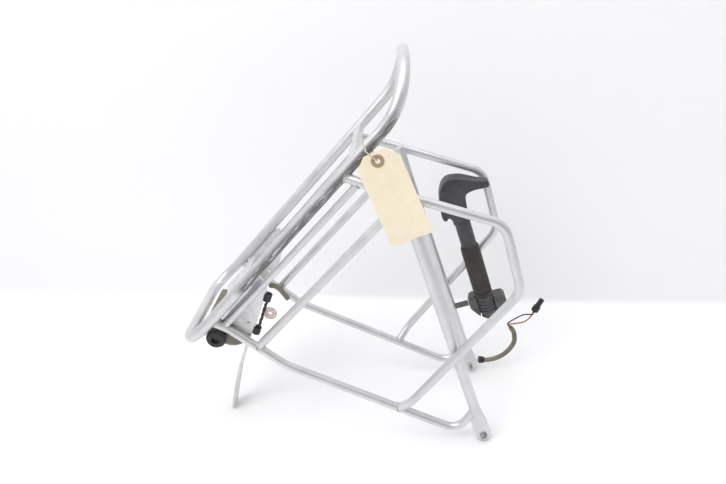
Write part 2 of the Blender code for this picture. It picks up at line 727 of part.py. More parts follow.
def build_buffer():
    """A rubber buffer and its backing pad on an ear beside the left cheek."""
    u, n = BUFFER_PLACE
    ear_outer = -CHEEK_SIDE
    outline = arc((u, n), BUFFER_DIA / 2 - 0.001, 60, 300, 12)
    outline += [(CHEEK_FRONT - 0.004 - GAP, n - 0.010), (CHEEK_FRONT - 0.004 - GAP, n + 0.010)]
    ear = add("buffer_ear", prism("buffer_ear", outline, SHEET, ear_outer, "y"), "khaki")
    bore = add("ear_bore", turned("c", [(-0.02, BOLT_DIA / 2 + HOLE_PLAY), (0.02, BOLT_DIA / 2 + HOLE_PLAY)],
                                  (u, ear_outer, n), (0, 1, 0), 16))
    boolean(ear, bore)
    hole = BUFFER_HOLE_DIA / 2
    big = BUFFER_DIA / 2
    start = ear_outer - GAP
    ring = [(0.0, hole), (0.0, big * 0.86), (0.002, big), (BUFFER_LENGTH - 0.003, big),
            (BUFFER_LENGTH, big * 0.84), (BUFFER_LENGTH, hole), (0.0, hole)]
    add("rubber_buffer", turned("rubber_buffer", ring, (u, start, n), (0, -1, 0), 24), "rubber")
    shank = BOLT_DIA / 2
    profile = [(-SHEET - 0.008, shank), (BUFFER_LENGTH * 0.55, shank),
               (BUFFER_LENGTH * 0.55, hole - GAP), (BUFFER_LENGTH * 0.75, hole - GAP)]
    add("buffer_screw", turned("buffer_screw", profile, (u, start, n), (0, -1, 0), 16), "black_plastic")
    pad = [(0.0, shank + GAP), (0.0, big * 0.72), (PAD_LENGTH, big * 0.5),
           (PAD_LENGTH, shank + GAP), (0.0, shank + GAP)]
    pad = turned("buffer_backing", pad, (u, ear_outer + SHEET + GAP, n), (0, 1, 0), 20)
    add("buffer_backing", pad, "khaki")


def build_trim():
    """Small pieces on the left cheek: the dark lead along its lower edge, two clips, disc, label."""
    outside = -(CHEEK_SIDE - SHEET / 2)
    drop = TRIM_DIA / 2 + GAP
    rise = CHEEK_REAR_LOW - 0.002 - CHEEK_FRONT_LOW
    slope = Vector((CHEEK_REAR - 0.012 - CHEEK_FRONT - 0.003, 0, rise)).normalized()
    below = Vector((slope.z, 0, -slope.x)) * drop
    start = Vector((CHEEK_REAR - 0.014, outside, CHEEK_REAR_LOW - 0.003)) + below
    end = Vector((CHEEK_FRONT + 0.004, outside, CHEEK_FRONT_LOW + 0.0005)) + below
    add("edge_lead", tube_mesh("edge_lead", [start, end], TRIM_DIA / 2, resolution=2), "rubber")
    clip_r = TRIM_DIA / 2 + 0.0022
    for k, spot in enumerate((start.lerp(end, 0.08), start.lerp(end, 0.93))):
        ring = [(0.0, TRIM_DIA / 2 + GAP), (0.0, clip_r), (0.009, clip_r), (0.009, TRIM_DIA / 2 + GAP),
                (0.0, TRIM_DIA / 2 + GAP)]
        away = (end - start).normalized()
        clip = turned("clip", ring, spot - away * 0.0045, away, 14)
        clip = add(f"lead_clip_{k + 1}", clip, "black_plastic")
        room = add(f"clip_room_{k + 1}", prism("c", cheek_outline(), SHEET + 2 * GAP, -CHEEK_SIDE - GAP, "y"))
        boolean(clip, room)
    disc_spot = start.lerp(end, 0.48) + below.normalized() * 0.0085
    disc = [(0.0, 0.0025), (0.0, 0.0080), (0.0016, 0.0080), (0.0016, 0.0025), (0.0, 0.0025)]
    base = (disc_spot.x, outside + TRIM_DIA / 2 + GAP, disc_spot.z)
    add("clear_disc", turned("clear_disc", disc, base, (0, 1, 0), 20), "clear_plastic")
    label = [(u, PLATFORM_HEIGHT - down) for u, down in LABEL_CORNERS]
    thin = 0.0005
    add("blank_label", prism("blank_label", label, thin, -CHEEK_SIDE - GAP - thin, "y"), "label")


# ---------------------------------------------------------------- the pump and its holder
def pump_point(along, back=0.0, side=0.0):
    foot = Vector((PUMP_FOOT[0], PUMP_SIDE, PUMP_FOOT[1]))
    return foot + PUMP_AXIS * along + PUMP_BACK * back + Vector((0, side, 0))


def side_block(outline, front, back):
    """A block square to the middle plane, from (along the pump, across it) pairs."""
    bm = bmesh.new()
    low = [bm.verts.new(pump_point(a, b, front)) for a, b in outline]
    high = [bm.verts.new(pump_point(a, b, back)) for a, b in outline]
    bm.faces.new(low)
    bm.faces.new(high)
    for i in range(len(outline)):
        j = (i + 1) % len(outline)
        bm.faces.new((low[i], low[j], high[j], high[i]))
    return closed_mesh("block", bm)


def build_pump():
    lift = moving_axes("pump_lift_axis", pump_point(0.0))
    stroke = moving_axes("pump_stroke_axis", pump_point(PUMP_GRIP_END))
    barrel_r = PUMP_BARREL_DIA / 2
    grip_r = PUMP_GRIP_DIA / 2
    cap_r = PUMP_CAP_DIA / 2
    bore_r = barrel_r + GAP

    cap = [(PUMP_CAP_END, cap_r * 0.55), (PUMP_CAP_END + 0.006, cap_r * 0.9)]
    along = PUMP_CAP_END + 0.008
    while along < PUMP_GRIP_START - 0.006:
        cap += [(along, cap_r), (along + 0.0026, cap_r), (along + 0.0030, cap_r - 0.0014),
                (along + 0.0042, cap_r - 0.0014), (along + 0.0046, cap_r)]
        along += 0.0052
    cap += [(PUMP_GRIP_START - GAP, cap_r)]
    cap = turned("pump_valve_cap", cap, pump_point(0), PUMP_AXIS, 24)
    on_axes(add("pump_valve_cap", cap, "pump_plastic"), lift)

    top = PUMP_GRIP_END
    grip = [(PUMP_GRIP_START, 0.004), (PUMP_GRIP_START, grip_r - 0.0012), (PUMP_GRIP_START + 0.005, grip_r),
            (PUMP_GRIP_START + 0.006, grip_r - 0.0010), (PUMP_GRIP_START + 0.0075, grip_r - 0.0010),
            (PUMP_GRIP_START + 0.0085, grip_r), (PUMP_GRIP_START + 0.013, grip_r),
            (PUMP_GRIP_START + 0.014, grip_r - 0.0008), (PUMP_GRIP_START + 0.0155, grip_r),
            (top - 0.010, grip_r), (top - 0.003, grip_r - 0.0004), (top, grip_r - 0.0013),
            (top, bore_r), (PUMP_GRIP_START + PUMP_WALL, bore_r),
            (PUMP_GRIP_START + PUMP_WALL, 0.004), (PUMP_GRIP_START, 0.004)]
    on_axes(add("pump_grip", turned("pump_grip", grip, pump_point(0), PUMP_AXIS, 28), "pump_rubber"), lift)

    rod_r = PUMP_ROD_DIA / 2
    inner = barrel_r - PUMP_WALL
    barrel_start = PUMP_GRIP_START + 0.050
    rod_end = barrel_start + 0.016
    rod = [(PUMP_GRIP_START + PUMP_WALL + GAP, rod_r), (rod_end, rod_r)]
    rod += [(rod_end, inner - 0.0006), (rod_end + 0.004, inner - 0.0006)]
    on_axes(add("pump_piston", turned("pump_piston", rod, pump_point(0), PUMP_AXIS, 20), "steel"), lift)

    barrel = [(barrel_start, rod_r + 0.0006), (barrel_start, barrel_r), (PUMP_BARREL_END, barrel_r),
              (PUMP_BARREL_END, inner), (barrel_start + 0.003, inner), (barrel_start + 0.003, rod_r + 0.0006),
              (barrel_start, rod_r + 0.0006)]
    barrel = turned("pump_barrel", barrel, pump_point(0), PUMP_AXIS, 28)
    on_axes(add("pump_barrel", barrel, "pump_plastic"), stroke)
    build_pump_head(stroke)
    return lift, stroke


def head_outline():
    """The handle seen from the side, as (along the pump, across it) pairs from the barrel's end."""
    back = PUMP_BARREL_DIA / 2 + PUMP_SLEEVE_WALL
    reach = PUMP_ARM_REACH
    tall = PUMP_HEAD_END - PUMP_BARREL_END
    front = -PUMP_HEAD_FRONT
    under = tall * 0.575
    housing = [(0.0, back), (tall * 0.28, back), (tall * 0.45, back + 0.001), (tall * 0.54, back + 0.0027)]
    arm = [(under, back + 0.007), (under + 0.0005, back + 0.015), (under - 0.0015, reach - 0.004),
           (under, reach - 0.0007), (under + 0.0015, reach), (under + 0.0050, reach),
           (under + 0.0068, reach - 0.0015), (under + 0.0080, reach - 0.006), (tall * 0.76, reach * 0.66)]
    crown = [(tall * 0.83, reach * 0.48), (tall * 0.905, reach * 0.25), (tall * 0.94, 0.0),
             (tall * 0.92, front * 0.28), (tall * 0.86, front * 0.50), (tall * 0.75, front * 0.70)]
    nose = [(tall * 0.60, front * 0.86), (tall * 0.40, front * 0.96), (tall * 0.26, front),
            (tall * 0.18, front + 0.0002), (tall * 0.14, front + 0.0014), (tall * 0.125, front + 0.0045),
            (tall * 0.17, front + 0.0076), (tall * 0.10, -back), (0.0, -back)]
    return housing + arm + crown + nose


def build_pump_head(stroke):
    """The L-shaped handle: a housing over the barrel's end, an arm rearward and a hook in front."""
    start = PUMP_BARREL_END + GAP
    half = PUMP_HEAD_DEPTH / 2
    head_mesh = side_block([(start + a, b) for a, b in head_outline()], -half, half)
    head = add("pump_handle", head_mesh, "pump_plastic")
    softened(head, PUMP_HEAD_ROUND, 3)
    on_axes(head, stroke)
    tip = start + (PUMP_HEAD_END - PUMP_BARREL_END) * 0.575 + 0.0032
    mouth = PUMP_MOUTH_DIA / 2
    hole = turned("c", [(PUMP_ARM_REACH - 0.007, mouth), (PUMP_ARM_REACH + 0.005, mouth)],
                  pump_point(tip), PUMP_BACK, 12)
    boolean(head, on_axes(add("nozzle_bore", hole), stroke))


def saddle_outline():
    """The holder seen from the side, as (along the pump, across it) pairs."""
    left = -(PUMP_CAP_DIA / 2 + SADDLE_EAR)
    right = PUMP_CAP_DIA / 2 + SADDLE_EAR + 0.004
    low = PUMP_CAP_END - SADDLE_FLOOR
    return [(SADDLE_TOP, left + 0.008), (SADDLE_TOP - 0.002, left + 0.003), (SADDLE_TOP - 0.009, left),
            (SADDLE_TOP - 0.018, left + 0.001), (low + 0.010, left + 0.009), (low + 0.002, left + 0.018),
            (low, -0.001), (low, 0.006), (low + 0.004, 0.012), (low + 0.015, right - 0.004),
            (low + 0.022, right), (low + 0.030, right), (low + 0.034, right - 0.004), (low + 0.034, 0.0)]


def build_pump_holder():
    """A trough-shaped saddle for the pump's foot and a peg at its head, both on the right stay."""
    cap_r = PUMP_CAP_DIA / 2
    front = -SADDLE_LIP
    back = LOOP_SIDE - ROD_R - PUMP_SIDE - SADDLE_LOOP_ROOM
    saddle = add("pump_saddle", side_block(saddle_outline(), front, back), "grey_plastic")
    room = cap_r + SADDLE_PLAY
    trough = [(PUMP_CAP_END - GAP, room), (SADDLE_TOP + 0.02, room)]
    trough = turned("c", trough, pump_point(0), PUMP_AXIS, 28)
    boolean(saddle, add("saddle_trough", trough))
    around_stay = bpy.data.objects["around_stay_right"]

    ear_face = -(cap_r + SADDLE_EAR + PEG_CLEAR)
    level = STAY_SIDE - PUMP_SIDE
    arm = strut_from_stay("holder_arm", pump_point(SADDLE_TOP - 0.0135, ear_face, level), PEG_DIA * 0.8)
    boolean(arm, around_stay)
    head_side = pump_point(PEG_HEIGHT, -PUMP_HEAD_FRONT - PEG_CLEAR, level - 0.003)
    boolean(strut_from_stay("head_peg", head_side, PEG_DIA / 2), around_stay)


def strut_from_stay(name, end, thick):
    """A short round arm that leaves the right stay square to it and stops at end."""
    height = end.dot(PUMP_AXIS) / (STAY_SLOPE * PUMP_AXIS.x + PUMP_AXIS.z)
    foot = Vector((stay_u(height), STAY_SIDE, height))
    kind = "steel" if name == "head_peg" else "grey_plastic"
    return add(name, tube_mesh(name, [foot, foot.lerp(end, 0.5), end], thick, resolution=2), kind)


# ---------------------------------------------------------------- cables
def smooth(points, count):
    """count points on a smooth curve through the route's own points."""
    spots = [Vector(p) for p in points]
    spots = [spots[0] * 2 - spots[1]] + spots + [spots[-1] * 2 - spots[-2]]
    dense = []
    for i in range(1, len(spots) - 2):
        a, b, c, d = spots[i - 1:i + 3]
        for k in range(24):
            t = k / 24
            dense.append(0.5 * ((2 * b) + (c - a) * t + (2 * a - 5 * b + 4 * c - d) * t * t
                                + (3 * b - a - 3 * c + d) * t ** 3))
    dense.append(spots[-2])
    lengths = [0.0]
    for a, b in zip(dense, dense[1:]):
        lengths.append(lengths[-1] + (b - a).length)
    found = []
    j = 0
    for k in range(count):
        want = lengths[-1] * k / (count - 1)
        while j < len(dense) - 2 and lengths[j + 1] < want:
            j += 1
        share = (want - lengths[j]) / (lengths[j + 1] - lengths[j])
        found.append(dense[j].lerp(dense[j + 1], share))
    return found


def build_cables():
    """The lighting cable that leaves the right dropout: boot, sheath, two leads and a connector."""
    exit_spot = Vector((DROPOUT_NOSE + 0.0042, STAY_SIDE + 0.001, -0.001))
    way = (Vector(SHEATH_ROUTE[1]) - Vector(SHEATH_ROUTE[0])).normalized()
    boot = [(0.0, CABLE_DIA / 2 + GAP), (0.0, 0.0052), (0.008, 0.0043), (0.008, CABLE_DIA / 2 + GAP),
            (0.0, CABLE_DIA / 2 + GAP)]
    add("cable_boot", turned("cable_boot", boot, exit_spot + way * 0.001, way, 16), "rubber")
    route = [exit_spot + Vector(p) for p in SHEATH_ROUTE]
    add("cable_sheath", tube_mesh("cable_sheath", smooth(route, 9), CABLE_DIA / 2), "khaki")

    mouth = route[-1]
    out = (route[-1] - route[-2]).normalized()
    plug = exit_spot + Vector(CONNECTOR_START)
    plug_way = (Vector(CONNECTOR_END) - Vector(CONNECTOR_START)).normalized()
    for name, kind, side in (("lead_red", "red", -1), ("lead_black", "rubber", 1)):
        apart = Vector((0, side * (LEAD_DIA / 2 + GAP), 0))
        bow = Vector((side * LEAD_SAG * 0.5, side * LEAD_SAG, side * LEAD_SAG * 0.5))
        start = mouth + out * GAP * 2 + apart
        end = plug - plug_way * GAP * 2 + apart
        line = [start, start + out * 0.006 + apart * 0.5, start.lerp(end, 0.55) + bow,
                end - plug_way * 0.006, end]
        add(name, tube_mesh(name, smooth(line, 12), LEAD_DIA / 2, resolution=2), kind)
    wide = CONNECTOR_DIA / 2
    long = (Vector(CONNECTOR_END) - Vector(CONNECTOR_START)).length
    body = [(0.0, wide * 0.8), (0.0015, wide), (long * 0.42, wide), (long * 0.46, wide * 0.72),
            (long, wide * 0.72), (long, wide * 0.45), (long - 0.005, wide * 0.45)]
    add("connector", turned("connector", body, plug, plug_way, 16), "black_plastic")

    level = STAY_SIDE - ROD_R - CABLE_DIA / 2
    stub = [(u, level - clear, PLATFORM_HEIGHT - down) for u, clear, down in UPPER_CABLE_ROUTE]
    add("upper_cable", tube_mesh("upper_cable", smooth(stub, 10), CABLE_DIA / 2), "khaki")


# ---------------------------------------------------------------- the blank paper tag
def build_tag():
    hole = Vector((TAG_HOLE_U, -TAG_SIDE, TAG_HOLE_N))
    down = Vector((-math.sin(TAG_LEAN), 0, -math.cos(TAG_LEAN)))
    across = Vector((math.cos(TAG_LEAN), 0, -math.sin(TAG_LEAN)))
    pivot = moving_axes("tag_swing_axis", hole)

    def spot(d, a, side):
        return hole + down * d + across * a + Vector((0, side, 0))

    half = TAG_WIDE / 2
    clip = TAG_WIDE * 0.25
    top = -TAG_HOLE_DOWN
    low = TAG_LONG - TAG_HOLE_DOWN
    outline = [(top, -half + clip), (top, half - clip), (top + clip, half),
               (low, half), (low, -half), (top + clip, -half)]
    bm = bmesh.new()
    near = [bm.verts.new(spot(d, a, -TAG_THICK / 2)) for d, a in outline]
    far = [bm.verts.new(spot(d, a, TAG_THICK / 2)) for d, a in outline]
    bm.faces.new(near)
    bm.faces.new(far)
    for i in range(len(outline)):
        j = (i + 1) % len(outline)
        bm.faces.new((near[i], near[j], far[j], far[i]))
    card = on_axes(add("tag_card", closed_mesh("tag_card", bm), "paper"), pivot)
    bore = turned("c", [(-0.01, TAG_EYE_DIA / 2), (0.01, TAG_EYE_DIA / 2)], hole, (0, 1, 0), 16)
    boolean(card, on_axes(add("tag_bore", bore), pivot))
    eye = TAG_EYE_DIA / 2
    ring_r = TAG_RING_DIA / 2
    face = TAG_THICK / 2 + GAP
    ring = [(face, eye), (face, ring_r), (face + 0.0006, ring_r - 0.0003), (face + 0.0006, eye), (face, eye)]
    on_axes(add("tag_ring", turned("tag_ring", ring, hole, (0, -1, 0), 24), "khaki"), pivot)

    reach = PLATFORM_R + STRING_DIA / 2 + GAP
    centre_y = -PLATFORM_HALF
    n = PLATFORM_HEIGHT
    loop = []
    for k in range(11):
        a = math.radians(-80 + 250 * k / 10)
        loop.append(Vector((TAG_HOLE_U, centre_y + reach * math.cos(a), n + reach * math.sin(a))))
    outside = -TAG_SIDE - TAG_THICK / 2 - 0.0022
    inside = -TAG_SIDE + TAG_THICK / 2 + 0.0014
    over_top = TAG_HOLE_N + math.hypot(TAG_HOLE_DOWN, half - clip) + STRING_DIA
    loop += [Vector((TAG_HOLE_U, outside, over_top)),
             Vector((TAG_HOLE_U, outside, TAG_HOLE_N + 0.002)),
             Vector((TAG_HOLE_U, -TAG_SIDE - 0.0005, TAG_HOLE_N)),
             Vector((TAG_HOLE_U, inside, TAG_HOLE_N + 0.001))]
    add("tag_string", tube_mesh("tag_string", loop, STRING_DIA / 2, True, 2), "string")


# ---------------------------------------------------------------- standing on the floor
def stand_on_floor(free_cord):
    """Tilts and moves the axes so that the rack, less its free cord, stands on the world origin."""
    AXES.rotation_euler = (0.0, -standing_tilt(), 0.0)
    bpy.context.view_layer.update()
    graph = bpy.context.evaluated_depsgraph_get()
    low = Vector((1e9, 1e9, 1e9))
    high = -low
    for obj in RACK.objects:
        if obj.type != "MESH" or obj.name in free_cord:
            continue
        evaluated = obj.evaluated_get(graph)
        for vertex in evaluated.data.vertices:
            spot = evaluated.matrix_world @ vertex.co
            low = Vector(map(min, low, spot))
            high = Vector(map(max, high, spot))
    AXES.location = (-(low.x + high.x) / 2, -(low.y + high.y) / 2, -low.z)


def build():
    build_frame()
    build_bracket()
    build_pump()
    build_pump_holder()
    build_cables()
    build_tag()
    stand_on_floor(("cable_sheath", "lead_red", "lead_black", "connector"))


build()
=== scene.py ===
"""Looks of the bicycle rear rack: drawn aluminium tubes with weld beads, front bracket, pump, cable, tag.

Rack axes: u runs rearward along the platform, y to the right of the bicycle, n up and square to the
platform. They are the axes that the CAD model is designed in; TO_WORLD carries them into the world.
"""

import math

import bmesh
import bpy
from mathutils import Matrix, Vector, noise


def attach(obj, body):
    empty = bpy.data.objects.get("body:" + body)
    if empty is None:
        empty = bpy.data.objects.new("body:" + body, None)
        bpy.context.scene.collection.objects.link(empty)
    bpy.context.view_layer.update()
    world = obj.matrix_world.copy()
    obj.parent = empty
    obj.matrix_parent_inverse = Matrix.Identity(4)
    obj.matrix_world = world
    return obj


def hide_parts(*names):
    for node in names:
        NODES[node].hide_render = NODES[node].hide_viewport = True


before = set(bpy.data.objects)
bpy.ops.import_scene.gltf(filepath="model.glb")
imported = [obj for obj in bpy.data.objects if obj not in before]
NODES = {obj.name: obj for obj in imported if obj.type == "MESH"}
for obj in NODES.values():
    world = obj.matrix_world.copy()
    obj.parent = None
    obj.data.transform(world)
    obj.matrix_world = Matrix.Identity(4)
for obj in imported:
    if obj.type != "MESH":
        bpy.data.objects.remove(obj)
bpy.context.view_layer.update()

# ---------------------------------------------------------------- sizes repeated from the CAD, in metres
TILT = math.radians(46.17913)
ORIGIN = Vector((0.158084, 0.002981, 0.010000))
TO_WORLD = Matrix.Translation(ORIGIN) @ Matrix.Rotation(-TILT, 4, "Y")
GAP = 0.0003
PLATFORM_R = 0.0065
PLATFORM_HALF = 0.073
PLATFORM_HEIGHT = 0.354
ROD_R = 0.005
STAY_R = 0.0065
UPPER_R = 0.00375
SIDE_STEP = STAY_R + ROD_R + GAP
LOOP_SIDE = PLATFORM_HALF + SIDE_STEP / 2
STAY_SIDE = PLATFORM_HALF - SIDE_STEP / 2
STAY_SLOPE = 0.579
PUMP_AXIS = Vector((STAY_SLOPE, 0.0, 1.0)).normalized()
PUMP_BACK = Vector((PUMP_AXIS.z, 0.0, -PUMP_AXIS.x))
PUMP_FOOT = Vector((0.0815, 0.059, 0.0455))
CHEEK_SIDE = STAY_SIDE - ROD_R - GAP
SHEET = 0.003


def turn(v):
    """A direction in rack axes, in the world."""
    return (TO_WORLD.to_3x3() @ Vector(v)).normalized()


# ---------------------------------------------------------------- camera
def make_camera():
    data = bpy.data.cameras.new("camera")
    data.lens = 27.77
    data.sensor_width = 36.0
    cam = bpy.data.objects.new("camera", data)
    bpy.context.scene.collection.objects.link(cam)
    ahead = Vector((-0.06981, 0.892, -0.44652)).normalized()
    up = Vector((0.0266, 0.4491, 0.89311))
    right = ahead.cross(up).normalized()
    up = right.cross(ahead).normalized()
    turned = Matrix((right, up, -ahead)).transposed().to_4x4()
    cam.matrix_world = Matrix.Translation((0.06269, -0.59152, 0.54867)) @ turned
    bpy.context.scene.camera = cam


make_camera()


# ---------------------------------------------------------------- curves and meshes
def fillet(corners, radii, step=math.radians(5)):
    """The corner points joined by straight runs, each inner corner rounded to its radius."""
    spots = [Vector(c) for c in corners]
    path = [spots[0]]
    for before, corner, after, radius in zip(spots, spots[1:], spots[2:], radii):
        back = (before - corner).normalized()
        on = (after - corner).normalized()
        angle = math.pi - back.angle(on)
        if angle < 1e-4:
            continue
        cut = radius * math.tan(angle / 2)
        middle = corner + (back + on).normalized() * radius / math.cos(angle / 2)
        start = corner + back * cut - middle
        normal = (back * -1).cross(on).normalized()
        count = max(2, math.ceil(angle / step))
        for k in range(count + 1):
            path.append(middle + Matrix.Rotation(angle * k / count, 3, normal) @ start)
    path.append(spots[-1])
    return path


def evenly(points, spacing):
    """The same line with a point every spacing or so."""
    found = [points[0]]
    for a, b in zip(points, points[1:]):
        count = max(1, round((b - a).length / spacing))
        found += [a.lerp(b, k / count) for k in range(1, count + 1)]
    return found


def swept(name, points, radius, sides=24, closed=False, caps=True):
    """A round tube along world points, without twist. radius may be a list with one number for each point."""
    count = len(points)
    radii = radius if isinstance(radius, list) else [radius] * count
    bm = bmesh.new()
    along = []
    for i in range(count):
        a = points[(i - 1) % count] if closed or i > 0 else points[0]
        b = points[(i + 1) % count] if closed or i < count - 1 else points[-1]
        along.append((b - a).normalized())
    side = along[0].orthogonal().normalized()
    rings = []
    for i in range(count):
        side = (side - along[i] * side.dot(along[i])).normalized()
        other = along[i].cross(side)
        ring = []
        for k in range(sides):
            a = 2 * math.pi * k / sides
            ring.append(bm.verts.new(points[i] + (side * math.cos(a) + other * math.sin(a)) * radii[i]))
        rings.append(ring)
    pairs = list(zip(rings, rings[1:]))
    for near, far in pairs:
        for k in range(sides):
            m = (k + 1) % sides
            bm.faces.new((near[k], near[m], far[m], far[k]))
    if closed:
        near, far = rings[-1], rings[0]
        best = min(range(sides), key=lambda s: (far[s].co - near[0].co).length)
        for k in range(sides):
            m = (k + 1) % sides
            bm.faces.new((near[k], near[m], far[(m + best) % sides], far[(k + best) % sides]))
    elif caps:
        bm.faces.new(list(reversed(rings[0])))
        bm.faces.new(rings[-1])
    return finished(name, bm)


def finished(name, bm, smooth=math.radians(38)):
    bmesh.ops.recalc_face_normals(bm, faces=bm.faces)
    mesh = bpy.data.meshes.new(name)
    bm.to_mesh(mesh)
    bm.free()
    mesh.shade_smooth()
    mesh.set_sharp_from_angle(angle=smooth)
    obj = bpy.data.objects.new(name, mesh)
    bpy.context.scene.collection.objects.link(obj)
    return obj


def lathe(name, profile, base, axis, sides=64):
    """Turned about a world axis from closed (distance along, radius) pairs; radius 0 closes an end."""
    axis = axis.normalized()
    side = axis.orthogonal().normalized()
    other = axis.cross(side)
    bm = bmesh.new()
    rings = []
    for along, radius in profile:
        centre = base + axis * along
        if radius < 1e-6:
            rings.append([bm.verts.new(centre)])
            continue
        ring = []
        for k in range(sides):
            a = 2 * math.pi * k / sides
            ring.append(bm.verts.new(centre + (side * math.cos(a) + other * math.sin(a)) * radius))
        rings.append(ring)
    for near, far in zip(rings, rings[1:]):
        for k in range(sides):
            m = (k + 1) % sides
            if len(near) == 1 and len(far) == 1:
                continue
            if len(near) == 1:
                bm.faces.new((near[0], far[m], far[k]))
            elif len(far) == 1:
                bm.faces.new((near[k], near[m], far[0]))
            else:
                bm.faces.new((near[k], near[m], far[m], far[k]))
    bmesh.ops.remove_doubles(bm, verts=bm.verts, dist=1e-7)
    return finished(name, bm)


def bevelled(obj, width, segments=2, angle=30):
    mod = obj.modifiers.new("soft_edges", "BEVEL")
    mod.width = width
    mod.segments = segments
    mod.limit_method = "ANGLE"
    mod.angle_limit = math.radians(angle)
    mod.harden_normals = True
    return obj


def paint(obj, mat):
    obj.data.materials.clear()
    obj.data.materials.append(mat)
    return obj


def piece(obj, body, mat, slot, *nodes):
    """Finishes a new piece: material and body, and hides the CAD nodes it stands for; slot is not used."""
    paint(obj, mat)
    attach(obj, body)
    if nodes:
        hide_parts(*nodes)
    return obj


# ---------------------------------------------------------------- materials
class Nodes:
    """Short names for building one material's nodes."""

    def __init__(self, name):
        self.mat = bpy.data.materials.new(name)
        self.mat.use_nodes = True
        self.tree = self.mat.node_tree
        self.shader = self.tree.nodes["Principled BSDF"]
        self.place = self.tree.nodes.new("ShaderNodeTexCoord").outputs["Object"]

    def node(self, kind, **inputs):
        made = self.tree.nodes.new(kind)
        for key, value in inputs.items():
            self.feed(made.inputs[key.replace("_", " ")], value)
        return made

    def feed(self, socket, value):
        if isinstance(value, bpy.types.NodeSocket):
            self.tree.links.new(value, socket)
        else:
            socket.default_value = value

    def noise(self, scale, detail=4.0, rough=0.55, stretch=None, vector=None):
        where = vector or self.place
        if stretch:
            mapping = self.node("ShaderNodeMapping", Vector=where)
            mapping.inputs["Scale"].default_value = stretch
            where = mapping.outputs["Vector"]
        made = self.node("ShaderNodeTexNoise", Vector=where, Scale=scale, Detail=detail, Roughness=rough)
        return made.outputs["Fac"]

    def span(self, value, low, high, to_low=0.0, to_high=1.0):
        made = self.node("ShaderNodeMapRange", Value=value)
        for key, number in (("From Min", low), ("From Max", high), ("To Min", to_low), ("To Max", to_high)):
            made.inputs[key].default_value = number
        return made.outputs["Result"]

    def maths(self, kind, a, b=0.0):
        made = self.tree.nodes.new("ShaderNodeMath")
        made.operation = kind
        self.feed(made.inputs[0], a)
        self.feed(made.inputs[1], b)
        return made.outputs[0]

    def mix(self, share, a, b):
        made = self.tree.nodes.new("ShaderNodeMix")
        made.data_type = "RGBA"
        self.feed(made.inputs["Factor"], share)
        self.feed(made.inputs["A"], a)
        self.feed(made.inputs["B"], b)
        return made.outputs["Result"]

    def bump(self, height, strength, distance, normal=None):
        made = self.node("ShaderNodeBump", Height=height, Strength=strength, Distance=distance)
        if normal is not None:
            self.feed(made.inputs["Normal"], normal)
        return made.outputs["Normal"]

    def set(self, **inputs):
        for key, value in inputs.items():
            self.feed(self.shader.inputs[key.replace("_", " ")], value)
        return self

    def axis(self, direction):
        """Distance along a rack direction, in metres, from the rack's own origin."""
        away = self.node("ShaderNodeVectorMath", Vector=self.place)
        away.operation = "SUBTRACT"
        away.inputs[1].default_value = ORIGIN
        made = self.tree.nodes.new("ShaderNodeVectorMath")
        made.operation = "DOT_PRODUCT"
        self.feed(made.inputs[0], away.outputs["Vector"])
        made.inputs[1].default_value = turn(direction)
        return made.outputs["Value"]

    def within(self, value, low, high, soft):
        up = self.span(value, low - soft, low + soft)
        down = self.span(value, high - soft, high + soft, 1.0, 0.0)
        return self.maths("MULTIPLY", up, down)


def grey(v, tint=(1.0, 1.0, 1.0)):
    return (v * tint[0], v * tint[1], v * tint[2], 1.0)


def silver(name, painted_shade=False, base=0.68):
    """Satin aluminium: cloudy lustre, fine drawn grain, small scuffs, darker specks of grime; on request also
    painted shade, a patchy dark band down the tube's lower outer side.
    """
    m = Nodes(name)
    cloud = m.noise(38, 3)
    fine = m.noise(900, 3, 0.7)
    colour = m.mix(m.span(cloud, 0.3, 0.7), grey(base * 0.93, (0.985, 0.995, 1.01)), grey(base * 1.05))
    specks = m.span(m.noise(260, 2, 0.6), 0.66, 0.74)
    colour = m.mix(m.maths("MULTIPLY", specks, 0.28), colour, grey(0.30, (1.0, 0.97, 0.93)))
    scuffs = m.span(m.noise(75, 5, 0.7, (1.0, 0.35, 2.4)), 0.60, 0.68)
    colour = m.mix(m.maths("MULTIPLY", scuffs, 0.20), colour, grey(0.36, (1.0, 0.98, 0.95)))
    rough = m.span(cloud, 0.3, 0.7, 0.34, 0.46)
    # painted shade: a patchy dark band along the lower outer side of the platform tube, from near its front
    # to the tail, standing for a dark reflection there
    if painted_shade:
        along = m.axis((1, 0, 0))
        out = m.axis((0, -1, 0))
        down = m.axis((0, 0, -1))
        band = m.within(along, -0.030, 0.236, 0.006)
        slant = 0.55
        middle = PLATFORM_HALF - PLATFORM_HEIGHT * slant
        side = m.span(m.maths("ADD", out, m.maths("MULTIPLY", down, slant)), middle + 0.0022, middle + 0.0066)
        streaks = m.node("ShaderNodeCombineXYZ", X=m.maths("MULTIPLY", along, 45.0),
                         Y=m.maths("MULTIPLY", out, 420.0), Z=m.maths("MULTIPLY", down, 420.0))
        patchy = m.span(m.noise(1.0, 6, 0.7, vector=streaks.outputs["Vector"]), 0.34, 0.50)
        darker_patches = m.maths("MULTIPLY", m.maths("MULTIPLY", band, side), patchy)
        # the painted shade itself: the band's colour pulled towards near black
        colour = m.mix(m.maths("MULTIPLY", darker_patches, 0.82), colour, grey(0.085, (1.0, 0.99, 0.98)))
        rough = m.maths("ADD", rough, m.maths("MULTIPLY", darker_patches, 0.15))
    bump = m.bump(fine, 0.10, 0.0002)
    bump = m.bump(m.noise(140, 4), 0.10, 0.0006, bump)
    m.set(Base_Color=colour, Roughness=rough, Metallic=0.82, Normal=bump)
    return m.mat


def weld_metal(name):
    m = Nodes(name)
    ripple = m.noise(620, 2, 0.5)
    colour = m.mix(m.span(m.noise(160, 4), 0.35, 0.7), grey(0.62), grey(0.34, (1.0, 0.98, 0.95)))
    m.set(Base_Color=colour, Roughness=m.span(ripple, 0.3, 0.7, 0.38, 0.55), Metallic=0.8,
          Normal=m.bump(ripple, 0.55, 0.0006))
    return m.mat


